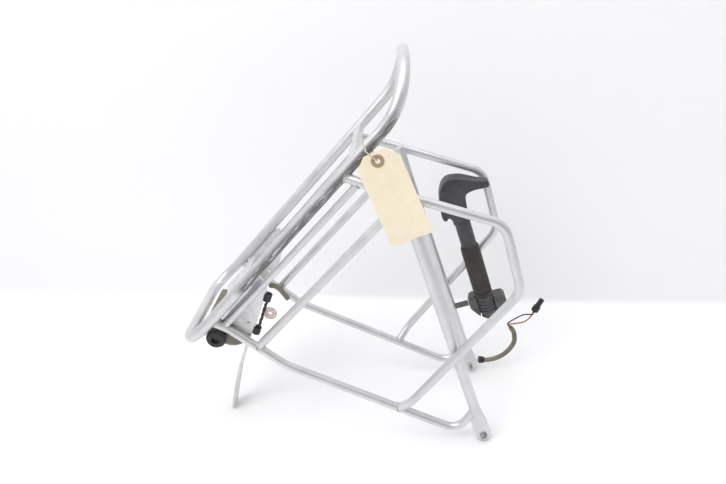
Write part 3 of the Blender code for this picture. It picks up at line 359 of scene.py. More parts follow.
def plate(name, base=0.80, tint=(1.0, 0.995, 1.02), metallic=0.55):
    """Rolled sheet with faint scratches and grey smudges."""
    m = Nodes(name)
    smudge = m.noise(60, 5, 0.6)
    colour = m.mix(m.span(smudge, 0.35, 0.75), grey(base, tint), grey(base * 0.74, (1.0, 0.98, 0.97)))
    scratch = m.span(m.noise(420, 3, 0.7, (0.3, 1.0, 2.2)), 0.64, 0.70)
    colour = m.mix(m.maths("MULTIPLY", scratch, 0.35), colour, grey(0.30))
    m.set(Base_Color=colour, Metallic=metallic, Roughness=m.span(smudge, 0.3, 0.7, 0.36, 0.52),
          Normal=m.bump(m.noise(700, 3, 0.7), 0.08, 0.0002))
    return m.mat


def painted(name, colour_a, colour_b, rough=(0.45, 0.62), metallic=0.1):
    m = Nodes(name)
    darker_patches = m.noise(85, 6, 0.65)
    colour = m.mix(m.span(darker_patches, 0.35, 0.68), colour_a, colour_b)
    m.set(Base_Color=colour, Metallic=metallic, Roughness=m.span(darker_patches, 0.3, 0.7, *rough),
          Normal=m.bump(m.noise(520, 4, 0.6), 0.14, 0.0003))
    return m.mat


def steel(name, base=0.46):
    m = Nodes(name)
    ring = m.noise(330, 4, 0.6)
    colour = m.mix(m.span(ring, 0.35, 0.7), grey(base), grey(base * 0.6, (1.0, 0.97, 0.93)))
    m.set(Base_Color=colour, Metallic=0.95, Roughness=m.span(ring, 0.3, 0.7, 0.24, 0.42),
          Normal=m.bump(m.noise(900, 2), 0.06, 0.0002))
    return m.mat


def moulded(name, colour, dusty, rough=(0.42, 0.60), grain=1100, depth=0.16, coat=0.0):
    """Moulded plastic or rubber: fine spark grain, a little dust and paler wear."""
    m = Nodes(name)
    dust = m.noise(48, 6, 0.65)
    shade = m.mix(m.span(dust, 0.42, 0.78), colour, dusty)
    marks = m.span(m.noise(300, 4, 0.75, (1.0, 1.0, 0.4)), 0.66, 0.74)
    shade = m.mix(m.maths("MULTIPLY", marks, 0.35), shade, dusty)
    m.set(Base_Color=shade, Roughness=m.span(dust, 0.3, 0.75, *rough),
          Normal=m.bump(m.noise(grain, 2, 0.5), depth, 0.0002))
    m.shader.inputs["Coat Weight"].default_value = coat
    return m.mat


def paper(name):
    """Manila card: fibres, faint mottling and a soft tooth."""
    m = Nodes(name)
    mottle = m.noise(120, 5, 0.6)
    fibre = m.span(m.noise(900, 5, 0.7, (1.0, 1.0, 0.25)), 0.42, 0.70)
    colour = m.mix(m.span(mottle, 0.3, 0.7), (0.93, 0.84, 0.66, 1), (0.90, 0.79, 0.58, 1))
    colour = m.mix(m.maths("MULTIPLY", fibre, 0.16), colour, (0.78, 0.64, 0.44, 1))
    m.set(Base_Color=colour, Roughness=m.span(mottle, 0.3, 0.7, 0.82, 0.92),
          Normal=m.bump(fibre, 0.22, 0.0002))
    m.shader.inputs["Sheen Weight"].default_value = 0.1
    return m.mat


def cotton(name):
    m = Nodes(name)
    hair = m.noise(2200, 3, 0.7)
    colour = m.mix(m.span(hair, 0.35, 0.7), (0.74, 0.69, 0.58, 1), (0.52, 0.46, 0.36, 1))
    m.set(Base_Color=colour, Roughness=m.span(hair, 0.3, 0.7, 0.85, 0.95), Normal=m.bump(hair, 0.6, 0.0003))
    m.shader.inputs["Sheen Weight"].default_value = 0.3
    return m.mat


def milky(name):
    """Thin translucent plastic, a little scratched."""
    m = Nodes(name)
    cloud = m.noise(260, 4)
    colour = m.mix(m.span(cloud, 0.3, 0.7), (0.86, 0.74, 0.71, 1), (0.78, 0.62, 0.58, 1))
    m.set(Base_Color=colour, Roughness=m.span(cloud, 0.3, 0.7, 0.18, 0.36),
          Normal=m.bump(cloud, 0.08, 0.0003))
    m.shader.inputs["Transmission Weight"].default_value = 0.45
    m.shader.inputs["Subsurface Weight"].default_value = 0.2
    m.shader.inputs["Subsurface Radius"].default_value = (0.004, 0.002, 0.002)
    return m.mat


SILVER = silver("satin_tube")
# the platform tube's look, with painted shade along its lower outer side
SILVER_PAINTED_SHADE = silver("satin_tube_painted_shade", True)
WELD = weld_metal("weld_bead")
PLATE = plate("bracket_sheet")
TONGUE = plate("tongue_sheet", 0.76, (1.0, 1.0, 1.0), 0.7)
# khaki: a dark olive colour, a little patchy, given to the bracket shield, the buffer's ear and backing
KHAKI = painted("khaki_sheet_colour", (0.30, 0.275, 0.21, 1), (0.19, 0.17, 0.13, 1))
STEEL = steel("plated_steel")
RUBBER = moulded("black_rubber", (0.012, 0.012, 0.013, 1), (0.045, 0.043, 0.042, 1), (0.55, 0.75))
BLACK = moulded("black_plastic", (0.010, 0.010, 0.011, 1), (0.035, 0.034, 0.034, 1), (0.32, 0.5))
PUMP = moulded("pump_plastic", (0.032, 0.033, 0.036, 1), (0.075, 0.075, 0.078, 1),
               (0.36, 0.52), 1400, 0.12, 0.08)
PUMP_GRIP = moulded("pump_grip_rubber", (0.026, 0.022, 0.019, 1), (0.066, 0.056, 0.048, 1),
                    (0.55, 0.78), 900, 0.3)
HOLDER = moulded("holder_plastic", (0.060, 0.058, 0.056, 1), (0.15, 0.15, 0.148, 1), (0.45, 0.62), 900, 0.2)
SHEATH = moulded("khaki_sheath", (0.215, 0.195, 0.15, 1), (0.11, 0.10, 0.078, 1), (0.5, 0.68), 1500, 0.1)
RED = moulded("red_insulation", (0.36, 0.032, 0.018, 1), (0.20, 0.03, 0.02, 1), (0.35, 0.5))
LEAD = moulded("dark_insulation", (0.020, 0.014, 0.012, 1), (0.05, 0.04, 0.036, 1), (0.35, 0.5))
LABEL = painted("label_film", (0.70, 0.71, 0.76, 1), (0.60, 0.61, 0.65, 1), (0.32, 0.45), 0.0)
CARD = paper("manila_card")
EYELET = painted("card_reinforcement", (0.46, 0.33, 0.20, 1), (0.34, 0.24, 0.15, 1), (0.7, 0.85), 0.0)
STRING = cotton("cotton_string")
CLEAR = milky("milky_plastic")


# ---------------------------------------------------------------- where each tube runs, as in the CAD
FRONT_END, FRONT_CORNER = -0.137, 0.027
FRONT_RISE_START, FRONT_RISE_RADIUS = -0.085, 0.30
TAIL_START, TAIL_RADIUS, TAIL_ANGLE, TAIL_CORNER = 0.205, 0.085, math.radians(45), 0.050
LOOP_TOP_U, LOOP_REAR, LOOP_LOW, LOOP_FRONT_HEIGHT = 0.147, (0.219, 0.199), (0.176, 0.128), 0.107
STRUT_TOP_U, STRUT_KNEE, STRUT_HEEL, STRUT_END_HEIGHT = -0.088, (-0.083, 0.249), (-0.017, 0.029), 0.037
SIDE_RAIL_HEIGHT, UPPER_RAIL_HEIGHT, END_JOG = 0.290, 0.337, 0.026
DROPOUT_NOSE, DROPOUT_HALF_THICK = 0.010, 0.002


def platform_spot(along, side):
    """The platform's line: level, easing up in front, swept up at the tail."""
    u, n = along, PLATFORM_HEIGHT
    if along < FRONT_RISE_START:
        angle = (FRONT_RISE_START - along) / FRONT_RISE_RADIUS
        u = FRONT_RISE_START - FRONT_RISE_RADIUS * math.sin(angle)
        n += FRONT_RISE_RADIUS * (1 - math.cos(angle))
    if along > TAIL_START:
        angle = (along - TAIL_START) / TAIL_RADIUS
        u = TAIL_START + TAIL_RADIUS * math.sin(angle)
        n += TAIL_RADIUS * (1 - math.cos(angle))
    return Vector((u, side, n))


def platform_path():
    """A closed loop: a rounded rectangle on the platform's developed surface."""
    tail = TAIL_START + TAIL_RADIUS * TAIL_ANGLE - TAIL_CORNER
    right = []
    for k in range(19):
        a = math.pi / 2 * k / 18
        right.append((FRONT_END + FRONT_CORNER * (1 - math.cos(a)),
                      PLATFORM_HALF - FRONT_CORNER * (1 - math.sin(a))))
    start = FRONT_END + FRONT_CORNER
    for k in range(1, 60):
        right.append((start + (tail - start) * k / 60, PLATFORM_HALF))
    for k in range(27):
        a = math.pi / 2 * k / 26
        right.append((tail + TAIL_CORNER * math.sin(a), PLATFORM_HALF - TAIL_CORNER * (1 - math.cos(a))))
    line = right + [(along, -side) for along, side in reversed(right)]
    spots = [platform_spot(along, side) for along, side in line]
    kept = [spots[0]]
    for spot in spots[1:]:
        if (spot - kept[-1]).length > 1e-4:
            kept.append(spot)
    return kept


def loop_line_u(height):
    share = (PLATFORM_HEIGHT - height) / (PLATFORM_HEIGHT - LOOP_REAR[1])
    return LOOP_TOP_U + (LOOP_REAR[0] - LOOP_TOP_U) * share


def strut_u(height):
    if height > STRUT_KNEE[1]:
        share = (height - STRUT_KNEE[1]) / (PLATFORM_HEIGHT - STRUT_KNEE[1])
        return STRUT_KNEE[0] + (STRUT_TOP_U - STRUT_KNEE[0]) * share
    share = (height - STRUT_HEEL[1]) / (STRUT_KNEE[1] - STRUT_HEEL[1])
    return STRUT_HEEL[0] + (STRUT_KNEE[0] - STRUT_HEEL[0]) * share


def loop_path(side):
    jog = PLATFORM_HEIGHT - END_JOG
    front = strut_u(LOOP_FRONT_HEIGHT)
    run = Vector((front - LOOP_LOW[0], LOOP_FRONT_HEIGHT - LOOP_LOW[1])).normalized()
    turn_in = Vector((front, LOOP_FRONT_HEIGHT)) - run * END_JOG
    corners = [(LOOP_TOP_U, side * PLATFORM_HALF, PLATFORM_HEIGHT), (loop_line_u(jog), side * LOOP_SIDE, jog),
               (LOOP_REAR[0], side * LOOP_SIDE, LOOP_REAR[1]), (LOOP_LOW[0], side * LOOP_SIDE, LOOP_LOW[1]),
               (turn_in.x, side * LOOP_SIDE, turn_in.y), (front, side * STAY_SIDE, LOOP_FRONT_HEIGHT)]
    return fillet(corners, (0.040, 0.028, 0.025, 0.030))


def strut_path(side):
    jog = PLATFORM_HEIGHT - END_JOG
    corners = [(STRUT_TOP_U, side * PLATFORM_HALF, PLATFORM_HEIGHT), (strut_u(jog), side * STAY_SIDE, jog),
               (STRUT_KNEE[0], side * STAY_SIDE, STRUT_KNEE[1]),
               (STRUT_HEEL[0], side * STAY_SIDE, STRUT_HEEL[1]),
               (STAY_SLOPE * STRUT_END_HEIGHT, side * STAY_SIDE, STRUT_END_HEIGHT)]
    return fillet(corners, (0.040, 0.060, 0.019))


def stay_top():
    slope = (LOOP_REAR[0] - LOOP_TOP_U) / (PLATFORM_HEIGHT - LOOP_REAR[1])
    return (LOOP_TOP_U + slope * PLATFORM_HEIGHT) / (STAY_SLOPE + slope)


def side_rail_path(side):
    height = SIDE_RAIL_HEIGHT
    return [Vector((strut_u(height), side * STAY_SIDE, height)),
            Vector((STAY_SLOPE * height, side * STAY_SIDE, height))]


def jog_side(height, plane):
    return PLATFORM_HALF + (plane - PLATFORM_HALF) * (PLATFORM_HEIGHT - height) / END_JOG


def upper_rail_path(side):
    height = UPPER_RAIL_HEIGHT
    return [Vector((strut_u(height), side * jog_side(height, STAY_SIDE), height)),
            Vector((loop_line_u(height), side * jog_side(height, LOOP_SIDE), height))]


def in_world(points):
    return [TO_WORLD @ Vector(p) for p in points]


# ---------------------------------------------------------------- frame tubes
def tube(name, path, radius, node, look=None, closed=False):
    line = in_world(path if closed else evenly(path, 0.005))
    piece(swept(name, line, radius, 32, closed), "rack", look or SILVER, "frame_tube", node)


def eased(value, low, high):
    share = min(1.0, max(0.0, (value - low) / (high - low)))
    return share * share * (3 - 2 * share)


def build_stay(word, side):
    """One tube, pressed flat at its lower end into a round-nosed dropout."""
    nose, thin = DROPOUT_NOSE, DROPOUT_HALF_THICK
    stations = []
    for k in range(1, 12):
        a = math.pi / 2 * k / 12
        stations.append((-nose * math.cos(a), nose * math.sin(a)))
    length = (stay_top() + 0.003) * math.hypot(STAY_SLOPE, 1)
    count = 90
    for k in range(count + 1):
        s = length * (k / count) ** 1.4
        stations.append((s, nose + (STAY_R - nose) * eased(s, 0.012, 0.052)))
    bm = bmesh.new()
    rings = []
    sides = 36
    for s, half in stations:
        flat = 1 - eased(s, 0.012, 0.046)
        deep = STAY_R + (thin - STAY_R) * flat
        power = 2 / (2 + 5 * flat)
        ring = []
        for k in range(sides):
            a = 2 * math.pi * (k + 0.5) / sides
            c, d = math.cos(a), math.sin(a)
            x = math.copysign(abs(c) ** power, c) * half
            y = math.copysign(abs(d) ** power, d) * deep
            spot = PUMP_AXIS * s + PUMP_BACK * x + Vector((0, side * STAY_SIDE + y, 0))
            ring.append(bm.verts.new(TO_WORLD @ spot))
        rings.append(ring)
    for near, far in zip(rings, rings[1:]):
        for k in range(sides):
            m = (k + 1) % sides
            bm.faces.new((near[k], near[m], far[m], far[k]))
    bm.faces.new(rings[0])
    bm.faces.new(rings[-1])
    piece(finished(f"stay_tube_{word}", bm), "rack", SILVER, "frame_tube", f"stay_{word}")


def bead(end, along, radius, across, far_radius, seed):
    """A weld bead round a tube's end, on the line where it meets the round tube that runs across."""
    along, across = Vector(along).normalized(), Vector(across).normalized()
    first = along.orthogonal().normalized()
    second = along.cross(first)
    lift = along - across * along.dot(across)
    points, radii = [], []
    count = 44
    for k in range(count):
        a = 2 * math.pi * k / count
        out = (first * math.cos(a) + second * math.sin(a)) * radius
        flat = out - across * out.dot(across)
        b = 2 * lift.dot(flat)
        c = flat.dot(flat) - far_radius ** 2
        reach = (-b + math.sqrt(max(0.0, b * b - 4 * lift.dot(lift) * c))) / (2 * lift.dot(lift))
        points.append(TO_WORLD @ (Vector(end) + along * reach + out * 0.96))
        ripple = math.sin(a * 17 + seed) * 0.00010
        radii.append(0.00115 + ripple + 0.00025 * noise.noise(Vector((a * 1.5, seed, 0))))
    return swept("bead", points, radii, 10, True)


def joined(name, parts):
    bm = bmesh.new()
    for part in parts:
        bm.from_mesh(part.data)
        bpy.data.objects.remove(part)
    return finished(name, bm)


def build_tubes():
    # the platform tube takes the look with painted shade along its lower outer side
    tube("platform_tube", platform_path(), PLATFORM_R, "platform_loop", SILVER_PAINTED_SHADE, True)
    beads = []
    strut_way = Vector((STRUT_KNEE[0] - STRUT_HEEL[0], 0, STRUT_KNEE[1] - STRUT_HEEL[1]))
    level = Vector((1, 0, 0))
    for word, side in (("left", -1), ("right", 1)):
        loop, strut = loop_path(side), strut_path(side)
        rail, upper = side_rail_path(side), upper_rail_path(side)
        tube(f"side_loop_tube_{word}", loop, ROD_R, f"side_loop_{word}")
        tube(f"front_strut_tube_{word}", strut, ROD_R, f"front_strut_{word}")
        tube(f"side_rail_tube_{word}", rail, ROD_R, f"side_rail_{word}")
        tube(f"upper_rail_tube_{word}", upper, UPPER_R, f"upper_rail_{word}")
        build_stay(word, side)
        rail_way, upper_way = rail[1] - rail[0], upper[1] - upper[0]
        joints = [
            (strut[0], strut[1] - strut[0], ROD_R, level, PLATFORM_R),
            (loop[0], loop[1] - loop[0], ROD_R, level, PLATFORM_R),
            (loop[-1], loop[-2] - loop[-1], ROD_R, strut_way, ROD_R),
            (strut[-1], strut[-2] - strut[-1], ROD_R, PUMP_AXIS, STAY_R),
            (rail[0], rail_way, ROD_R, strut_way, ROD_R),
            (rail[1], -rail_way, ROD_R, PUMP_AXIS, STAY_R),
            (upper[0], upper_way, UPPER_R, strut[1] - strut[0], ROD_R),
            (upper[1], -upper_way, UPPER_R, loop[1] - loop[0], ROD_R),
        ]
        beads += [bead(*joint, seed=k * 3.1 + side) for k, joint in enumerate(joints)]
    piece(joined("weld_beads", beads), "rack", WELD, "frame_tube")


build_tubes()


# ---------------------------------------------------------------- pump
PUMP_BARREL_R, PUMP_GRIP_R, PUMP_CAP_R, PUMP_WALL = 0.0100, 0.01225, 0.01125, 0.0018
PUMP_CAP_END, GRIP_START, GRIP_END, BARREL_END, HEAD_END = 0.006, 0.040, 0.118, 0.155, 0.219
HEAD_FRONT, HEAD_DEPTH, ARM_REACH, SLEEVE = 0.0220, 0.0215, 0.044, 0.001
MOUTH_DIA = 0.0032


def pump_spot(along, back=0.0, side=0.0):
    return TO_WORLD @ (PUMP_FOOT + PUMP_AXIS * along + PUMP_BACK * back + Vector((0, side, 0)))


def head_outline():
    """The handle from the side, as (along the pump, across it) pairs from the barrel's end."""
    back = PUMP_BARREL_R + SLEEVE
    tall = HEAD_END - BARREL_END
    front = -HEAD_FRONT
    under = tall * 0.575
    housing = [(0.0, back), (tall * 0.28, back), (tall * 0.45, back + 0.001), (tall * 0.54, back + 0.0027)]
    arm = [(under, back + 0.007), (under + 0.0005, back + 0.015), (under - 0.0015, ARM_REACH - 0.004),
           (under, ARM_REACH - 0.0007), (under + 0.0015, ARM_REACH), (under + 0.0050, ARM_REACH),
           (under + 0.0068, ARM_REACH - 0.0015), (under + 0.0080, ARM_REACH - 0.006),
           (tall * 0.76, ARM_REACH * 0.66)]
    crown = [(tall * 0.83, ARM_REACH * 0.48), (tall * 0.905, ARM_REACH * 0.25), (tall * 0.94, 0.0),
             (tall * 0.92, front * 0.28), (tall * 0.86, front * 0.50), (tall * 0.75, front * 0.70)]
    nose = [(tall * 0.60, front * 0.86), (tall * 0.40, front * 0.96), (tall * 0.26, front),
            (tall * 0.18, front + 0.0002), (tall * 0.14, front + 0.0014), (tall * 0.125, front + 0.0045),
            (tall * 0.17, front + 0.0076), (tall * 0.10, -back), (0.0, -back)]
    return housing + arm + crown + nose


def rounded_outline(points, each=4):
    """A smooth outline through the points, left open between the last and the first."""
    spots = [Vector((a, b, 0)) for a, b in points]
    found = []
    count = len(spots)
    for i in range(count - 1):
        a, b = spots[max(i - 1, 0)], spots[i]
        c, d = spots[i + 1], spots[min(i + 2, count - 1)]
        for k in range(each):
            t = k / each
            found.append(0.5 * (2 * b + (c - a) * t + (2 * a - 5 * b + 4 * c - d) * t * t
                                + (3 * b - a - 3 * c + d) * t ** 3))
    found.append(spots[-1])
    return found


def build_handle():
    """The L-shaped handle, slimmer towards the arm's tip, with the hose mouth in its end."""
    start = BARREL_END + GAP
    outline = rounded_outline(head_outline())
    bm = bmesh.new()
    sides = []
    for way in (-1, 1):
        ring = []
        for p in outline:
            thin = 1 - 0.30 * eased(p.y, 0.012, ARM_REACH)
            ring.append(bm.verts.new(pump_spot(start + p.x, p.y, way * HEAD_DEPTH / 2 * thin)))
        sides.append(ring)
        bm.faces.new(ring)
    low, high = sides
    for i in range(len(low)):
        j = (i + 1) % len(low)
        bm.faces.new((low[i], low[j], high[j], high[i]))
    head = finished("pump_handle_shell", bm, math.radians(60))
    bevelled(head, 0.0032, 5, 60)
    bake(head)
    tip = start + (HEAD_END - BARREL_END) * 0.575 + 0.0032
    mouth = MOUTH_DIA / 2
    hole = lathe("cut", [(0, 0), (0, mouth), (0.012, mouth), (0.012, 0)],
                 pump_spot(tip, ARM_REACH - 0.007), turn(PUMP_BACK), 24)
    bake(head, hole)
    piece(head, "pump_top", PUMP, "pump_plastic", "pump_handle")


def bake(obj, cutter=None):
    """Makes the object's modifiers, and a cut where there is a cutter, part of its mesh."""
    if cutter:
        mod = obj.modifiers.new("cut", "BOOLEAN")
        mod.solver = "EXACT"
        mod.object = cutter
    graph = bpy.context.evaluated_depsgraph_get()
    mesh = bpy.data.meshes.new_from_object(obj.evaluated_get(graph))
    obj.modifiers.clear()
    obj.data = mesh
    mesh.set_sharp_from_angle(angle=math.radians(38))
    if cutter:
        bpy.data.objects.remove(cutter)


def build_pump():
    base, way = pump_spot(0), turn(PUMP_AXIS)
    r = PUMP_CAP_R
    cap = [(PUMP_CAP_END, 0.0), (PUMP_CAP_END, r * 0.50), (PUMP_CAP_END + 0.0005, r * 0.60),
           (PUMP_CAP_END + 0.006, r * 0.9)]
    along = PUMP_CAP_END + 0.008
    while along < GRIP_START - 0.006:
        cap += [(along, r), (along + 0.0005, r), (along + 0.0022, r), (along + 0.0027, r - 0.0004),
                (along + 0.0030, r - 0.0014), (along + 0.0042, r - 0.0014), (along + 0.0046, r - 0.0003)]
        along += 0.0052
    cap += [(GRIP_START - GAP - 0.0005, r), (GRIP_START - GAP, r - 0.0005), (GRIP_START - GAP, 0.0)]
    piece(lathe("pump_cap_ribbed", cap, base, way), "pump", PUMP, "pump_plastic", "pump_valve_cap")

    r, bore, foot = PUMP_GRIP_R, PUMP_BARREL_R + GAP, GRIP_START
    grip = [(foot, 0.004), (foot, r - 0.0022), (foot + 0.0008, r - 0.0009), (foot + 0.002, r - 0.0002),
            (foot + 0.004, r), (foot + 0.0056, r - 0.0002), (foot + 0.0062, r - 0.0012),
            (foot + 0.0072, r - 0.0012),
            (foot + 0.0078, r - 0.0003), (foot + 0.0085, r), (foot + 0.0128, r), (foot + 0.0136, r - 0.0007),
            (foot + 0.0148, r - 0.0007), (foot + 0.0155, r), (foot + 0.030, r), (GRIP_END - 0.012, r),
            (GRIP_END - 0.004, r - 0.0003), (GRIP_END - 0.0012, r - 0.0008), (GRIP_END, r - 0.0016),
            (GRIP_END, bore), (foot + PUMP_WALL, bore), (foot + PUMP_WALL, 0.004), (foot, 0.004)]
    piece(lathe("pump_grip_sleeve", grip, base, way), "pump", PUMP_GRIP, "pump_rubber", "pump_grip")

    rod, inner, low = 0.003, PUMP_BARREL_R - PUMP_WALL, GRIP_START + 0.050
    barrel = [(low, rod + 0.0006), (low, PUMP_BARREL_R), (BARREL_END, PUMP_BARREL_R), (BARREL_END, inner),
              (low + 0.003, inner), (low + 0.003, rod + 0.0006), (low, rod + 0.0006)]
    piece(lathe("pump_barrel_tube", barrel, base, way), "pump_top", PUMP, "pump_plastic", "pump_barrel")
    build_handle()


build_pump()


# ---------------------------------------------------------------- cable at the dropout
CABLE_R, LEAD_R, LEAD_SAG = 0.0033, 0.0009, 0.0035
SHEATH_ROUTE = ((0.0, 0.0, 0.0), (0.010, 0.001, -0.012), (0.024, 0.002, -0.020), (0.040, 0.002, -0.021),
                (0.057, 0.001, -0.015), (0.068, 0.0, -0.002), (0.071, 0.0, 0.008))
CONNECTOR_START, CONNECTOR_END, CONNECTOR_R = (0.111, 0.0, 0.004), (0.131, 0.0, 0.0105), 0.005
EXIT_SPOT = Vector((0.0142, STAY_SIDE + 0.001, -0.001))


def smooth(points, count):
    """count points, evenly spaced, on a smooth curve through the route's own points."""
    spots = [Vector(p) for p in points]
    spots = [spots[0] * 2 - spots[1]] + spots + [spots[-1] * 2 - spots[-2]]
    dense = []
    for i in range(1, len(spots) - 2):
        a, b, c, d = spots[i - 1:i + 3]
        for k in range(24):
            t = k / 24
            dense.append(0.5 * (2 * b + (c - a) * t + (2 * a - 5 * b + 4 * c - d) * t * t
                                + (3 * b - a - 3 * c + d) * t ** 3))
    dense.append(spots[-2])
    lengths = [0.0]
    for a, b in zip(dense, dense[1:]):
        lengths.append(lengths[-1] + (b - a).length)
    found = []
    j = 0
    for k in range(count):
        want = lengths[-1] * k / (count - 1)
        while j < len(dense) - 2 and lengths[j + 1] < want:
            j += 1
        share = (want - lengths[j]) / (lengths[j + 1] - lengths[j])
        found.append(dense[j].lerp(dense[j + 1], share))
    return found


def long(points):
    return sum((b - a).length for a, b in zip(points, points[1:]))


def cord(name, points, radius, mat, slot, node):
    """One free cord along rack points."""
    line = in_world(points)
    made = piece(swept(name, line, radius, 20), "rack", mat, slot, node)


def build_cable():
    route = [EXIT_SPOT + Vector(p) for p in SHEATH_ROUTE]
    way = (route[1] - route[0]).normalized()
    boot = [(0.0, CABLE_R + GAP), (0.0, 0.0048), (0.0012, 0.0052), (0.0070, 0.0045), (0.008, 0.0040),
            (0.008, CABLE_R + GAP), (0.0, CABLE_R + GAP)]
    boot = lathe("cable_boot_sleeve", boot, TO_WORLD @ (route[0] + way * 0.001), turn(way), 40)
    piece(boot, "rack", LEAD, "black_lead", "cable_boot")

    plug = EXIT_SPOT + Vector(CONNECTOR_START)
    step = Vector(CONNECTOR_END) - Vector(CONNECTOR_START)
    wide, full = CONNECTOR_R, step.length
    body = [(0.0, 0.0), (0.0, wide * 0.72), (0.0008, wide * 0.9), (0.0018, wide), (0.0045, wide),
            (0.0049, wide * 0.9), (0.0056, wide * 0.9), (0.0060, wide), (full * 0.42, wide),
            (full * 0.46, wide * 0.74), (full * 0.70, wide * 0.72), (full * 0.72, wide * 0.64),
            (full * 0.76, wide * 0.64), (full * 0.78, wide * 0.72), (full, wide * 0.72), (full, wide * 0.45),
            (full - 0.005, wide * 0.45), (full - 0.005, 0.0)]
    body = lathe("lead_connector", body, TO_WORLD @ plug, turn(step), 40)
    piece(body, "rack", BLACK, "black_fitting", "connector")

    cord("cable_jacket", smooth(route, 32), CABLE_R, SHEATH, "khaki_sheath", "cable_sheath")
    mouth = route[-1]
    out = (route[-1] - route[-2]).normalized()
    step.normalize()
    for name, mat, slot, side in (("lead_red", RED, "red_lead", -1), ("lead_black", LEAD, "black_lead", 1)):
        apart = Vector((0, side * (LEAD_R + GAP), 0))
        bow = Vector((side * 0.5, side, side * 0.5)) * LEAD_SAG
        start = mouth + out * GAP * 2 + apart
        end = plug - step * GAP * 2 + apart
        line = [start, start + out * 0.006 + apart * 0.5, start.lerp(end, 0.55) + bow,
                end - step * 0.006, end]
        cord(name + "_wire", smooth(line, 30), LEAD_R, mat, slot, name)


build_cable()


# ---------------------------------------------------------------- dark lead along the cheek's edge
CHEEK_REAR, CHEEK_FRONT, CHEEK_REAR_LOW, CHEEK_FRONT_LOW = -0.008, -0.079, 0.329, 0.305
TRIM_R = 0.0025


def build_edge_lead():
    """A thin lead that wanders along the left cheek's lower edge between its two clips."""
    outside = -(CHEEK_SIDE - SHEET / 2)
    rise = CHEEK_REAR_LOW - 0.002 - CHEEK_FRONT_LOW
    slope = Vector((CHEEK_REAR - 0.012 - CHEEK_FRONT - 0.003, 0, rise)).normalized()
    below = Vector((slope.z, 0, -slope.x)) * (TRIM_R + GAP)
    start = Vector((CHEEK_REAR - 0.014, outside, CHEEK_REAR_LOW - 0.003)) + below
    end = Vector((CHEEK_FRONT + 0.004, outside, CHEEK_FRONT_LOW + 0.0005)) + below
    points, radii = [], []
    for k in range(61):
        t = k / 60
        loose = math.sin(math.pi * t)
        wander = noise.noise(Vector((t * 7, 0.3, 0))) * 0.0022 * loose
        sag = below.normalized() * (0.0006 * loose + abs(wander))
        points.append(start.lerp(end, t) + sag + Vector((0, wander, 0)))
        radii.append(0.0017 + 0.0005 * noise.noise(Vector((t * 11, 5.1, 0))))
    piece(swept("edge_lead_wire", in_world(points), radii, 16), "rack", LEAD, "black_lead", "edge_lead")


build_edge_lead()


# ---------------------------------------------------------------- paper tag
TAG_LONG, TAG_WIDE, TAG_THICK, TAG_LEAN = 0.097, 0.044, 0.0008, math.radians(25)
TAG_EYE_R, TAG_RING_R, TAG_HOLE_DOWN, TAG_HOLE = 0.0025, 0.0065, 0.009, Vector((0.186, -0.0865, 0.340))
STRING_DIA = 0.0014


def tag_spot(down, across, out):
    """A point on the card, which curls a little away from the rack towards its lower end."""
    cupped = 0.0012 * eased(abs(across), 0.006, TAG_WIDE / 2) * eased(down, 0.0, 0.05)
    curl = 0.0030 * eased(down, 0.020, TAG_LONG) + cupped
    lean_down = Vector((-math.sin(TAG_LEAN), 0, -math.cos(TAG_LEAN)))
    lean_across = Vector((math.cos(TAG_LEAN), 0, -math.sin(TAG_LEAN)))
    return TO_WORLD @ (TAG_HOLE + lean_down * down + lean_across * across + Vector((0, -out - curl, 0)))


def build_tag():
    half, clip = TAG_WIDE / 2, TAG_WIDE * 0.25
    rows, columns = 34, 14
    bm = bmesh.new()
    grids = []
    for out in (-TAG_THICK / 2, TAG_THICK / 2):
        grid = []
        for r in range(rows + 1):
            down = -TAG_HOLE_DOWN + TAG_LONG * r / rows
            wide = min(half, half - clip + (down + TAG_HOLE_DOWN))
            across = [wide * (2 * c / columns - 1) for c in range(columns + 1)]
            grid.append([bm.verts.new(tag_spot(down, a, out)) for a in across])
        grids.append(grid)
    for grid in grids:
        for r in range(rows):
            for c in range(columns):
                bm.faces.new((grid[r][c], grid[r][c + 1], grid[r + 1][c + 1], grid[r + 1][c]))
    edge = [(0, c) for c in range(columns)] + [(r, columns) for r in range(rows)]
    edge += [(rows, c) for c in range(columns, 0, -1)] + [(r, 0) for r in range(rows, 0, -1)]
    for (r, c), (s, d) in zip(edge, edge[1:] + edge[:1]):
        bm.faces.new((grids[0][r][c], grids[0][s][d], grids[1][s][d], grids[1][r][c]))
    card = finished("tag_card_curled", bm)
    hole = lathe("cut", [(0, 0), (0, TAG_EYE_R), (0.02, TAG_EYE_R), (0.02, 0)],
                 TO_WORLD @ (TAG_HOLE + Vector((0, 0.01, 0))), turn((0, -1, 0)), 40)
    bake(card, hole)
    piece(card, "tag", CARD, "tag_paper", "tag_card")
    face = TAG_THICK / 2 + 0.0001
    ring = [(face, TAG_EYE_R), (face, TAG_RING_R), (face + 0.0003, TAG_RING_R - 0.0001),
            (face + 0.0004, TAG_RING_R - 0.0005), (face + 0.0004, TAG_EYE_R), (face, TAG_EYE_R)]
    ring = lathe("tag_reinforcement_ring", ring, TO_WORLD @ TAG_HOLE, turn((0, -1, 0)), 56)
    piece(ring, "tag", EYELET, "tag_reinforcement", "tag_ring")
    build_string()


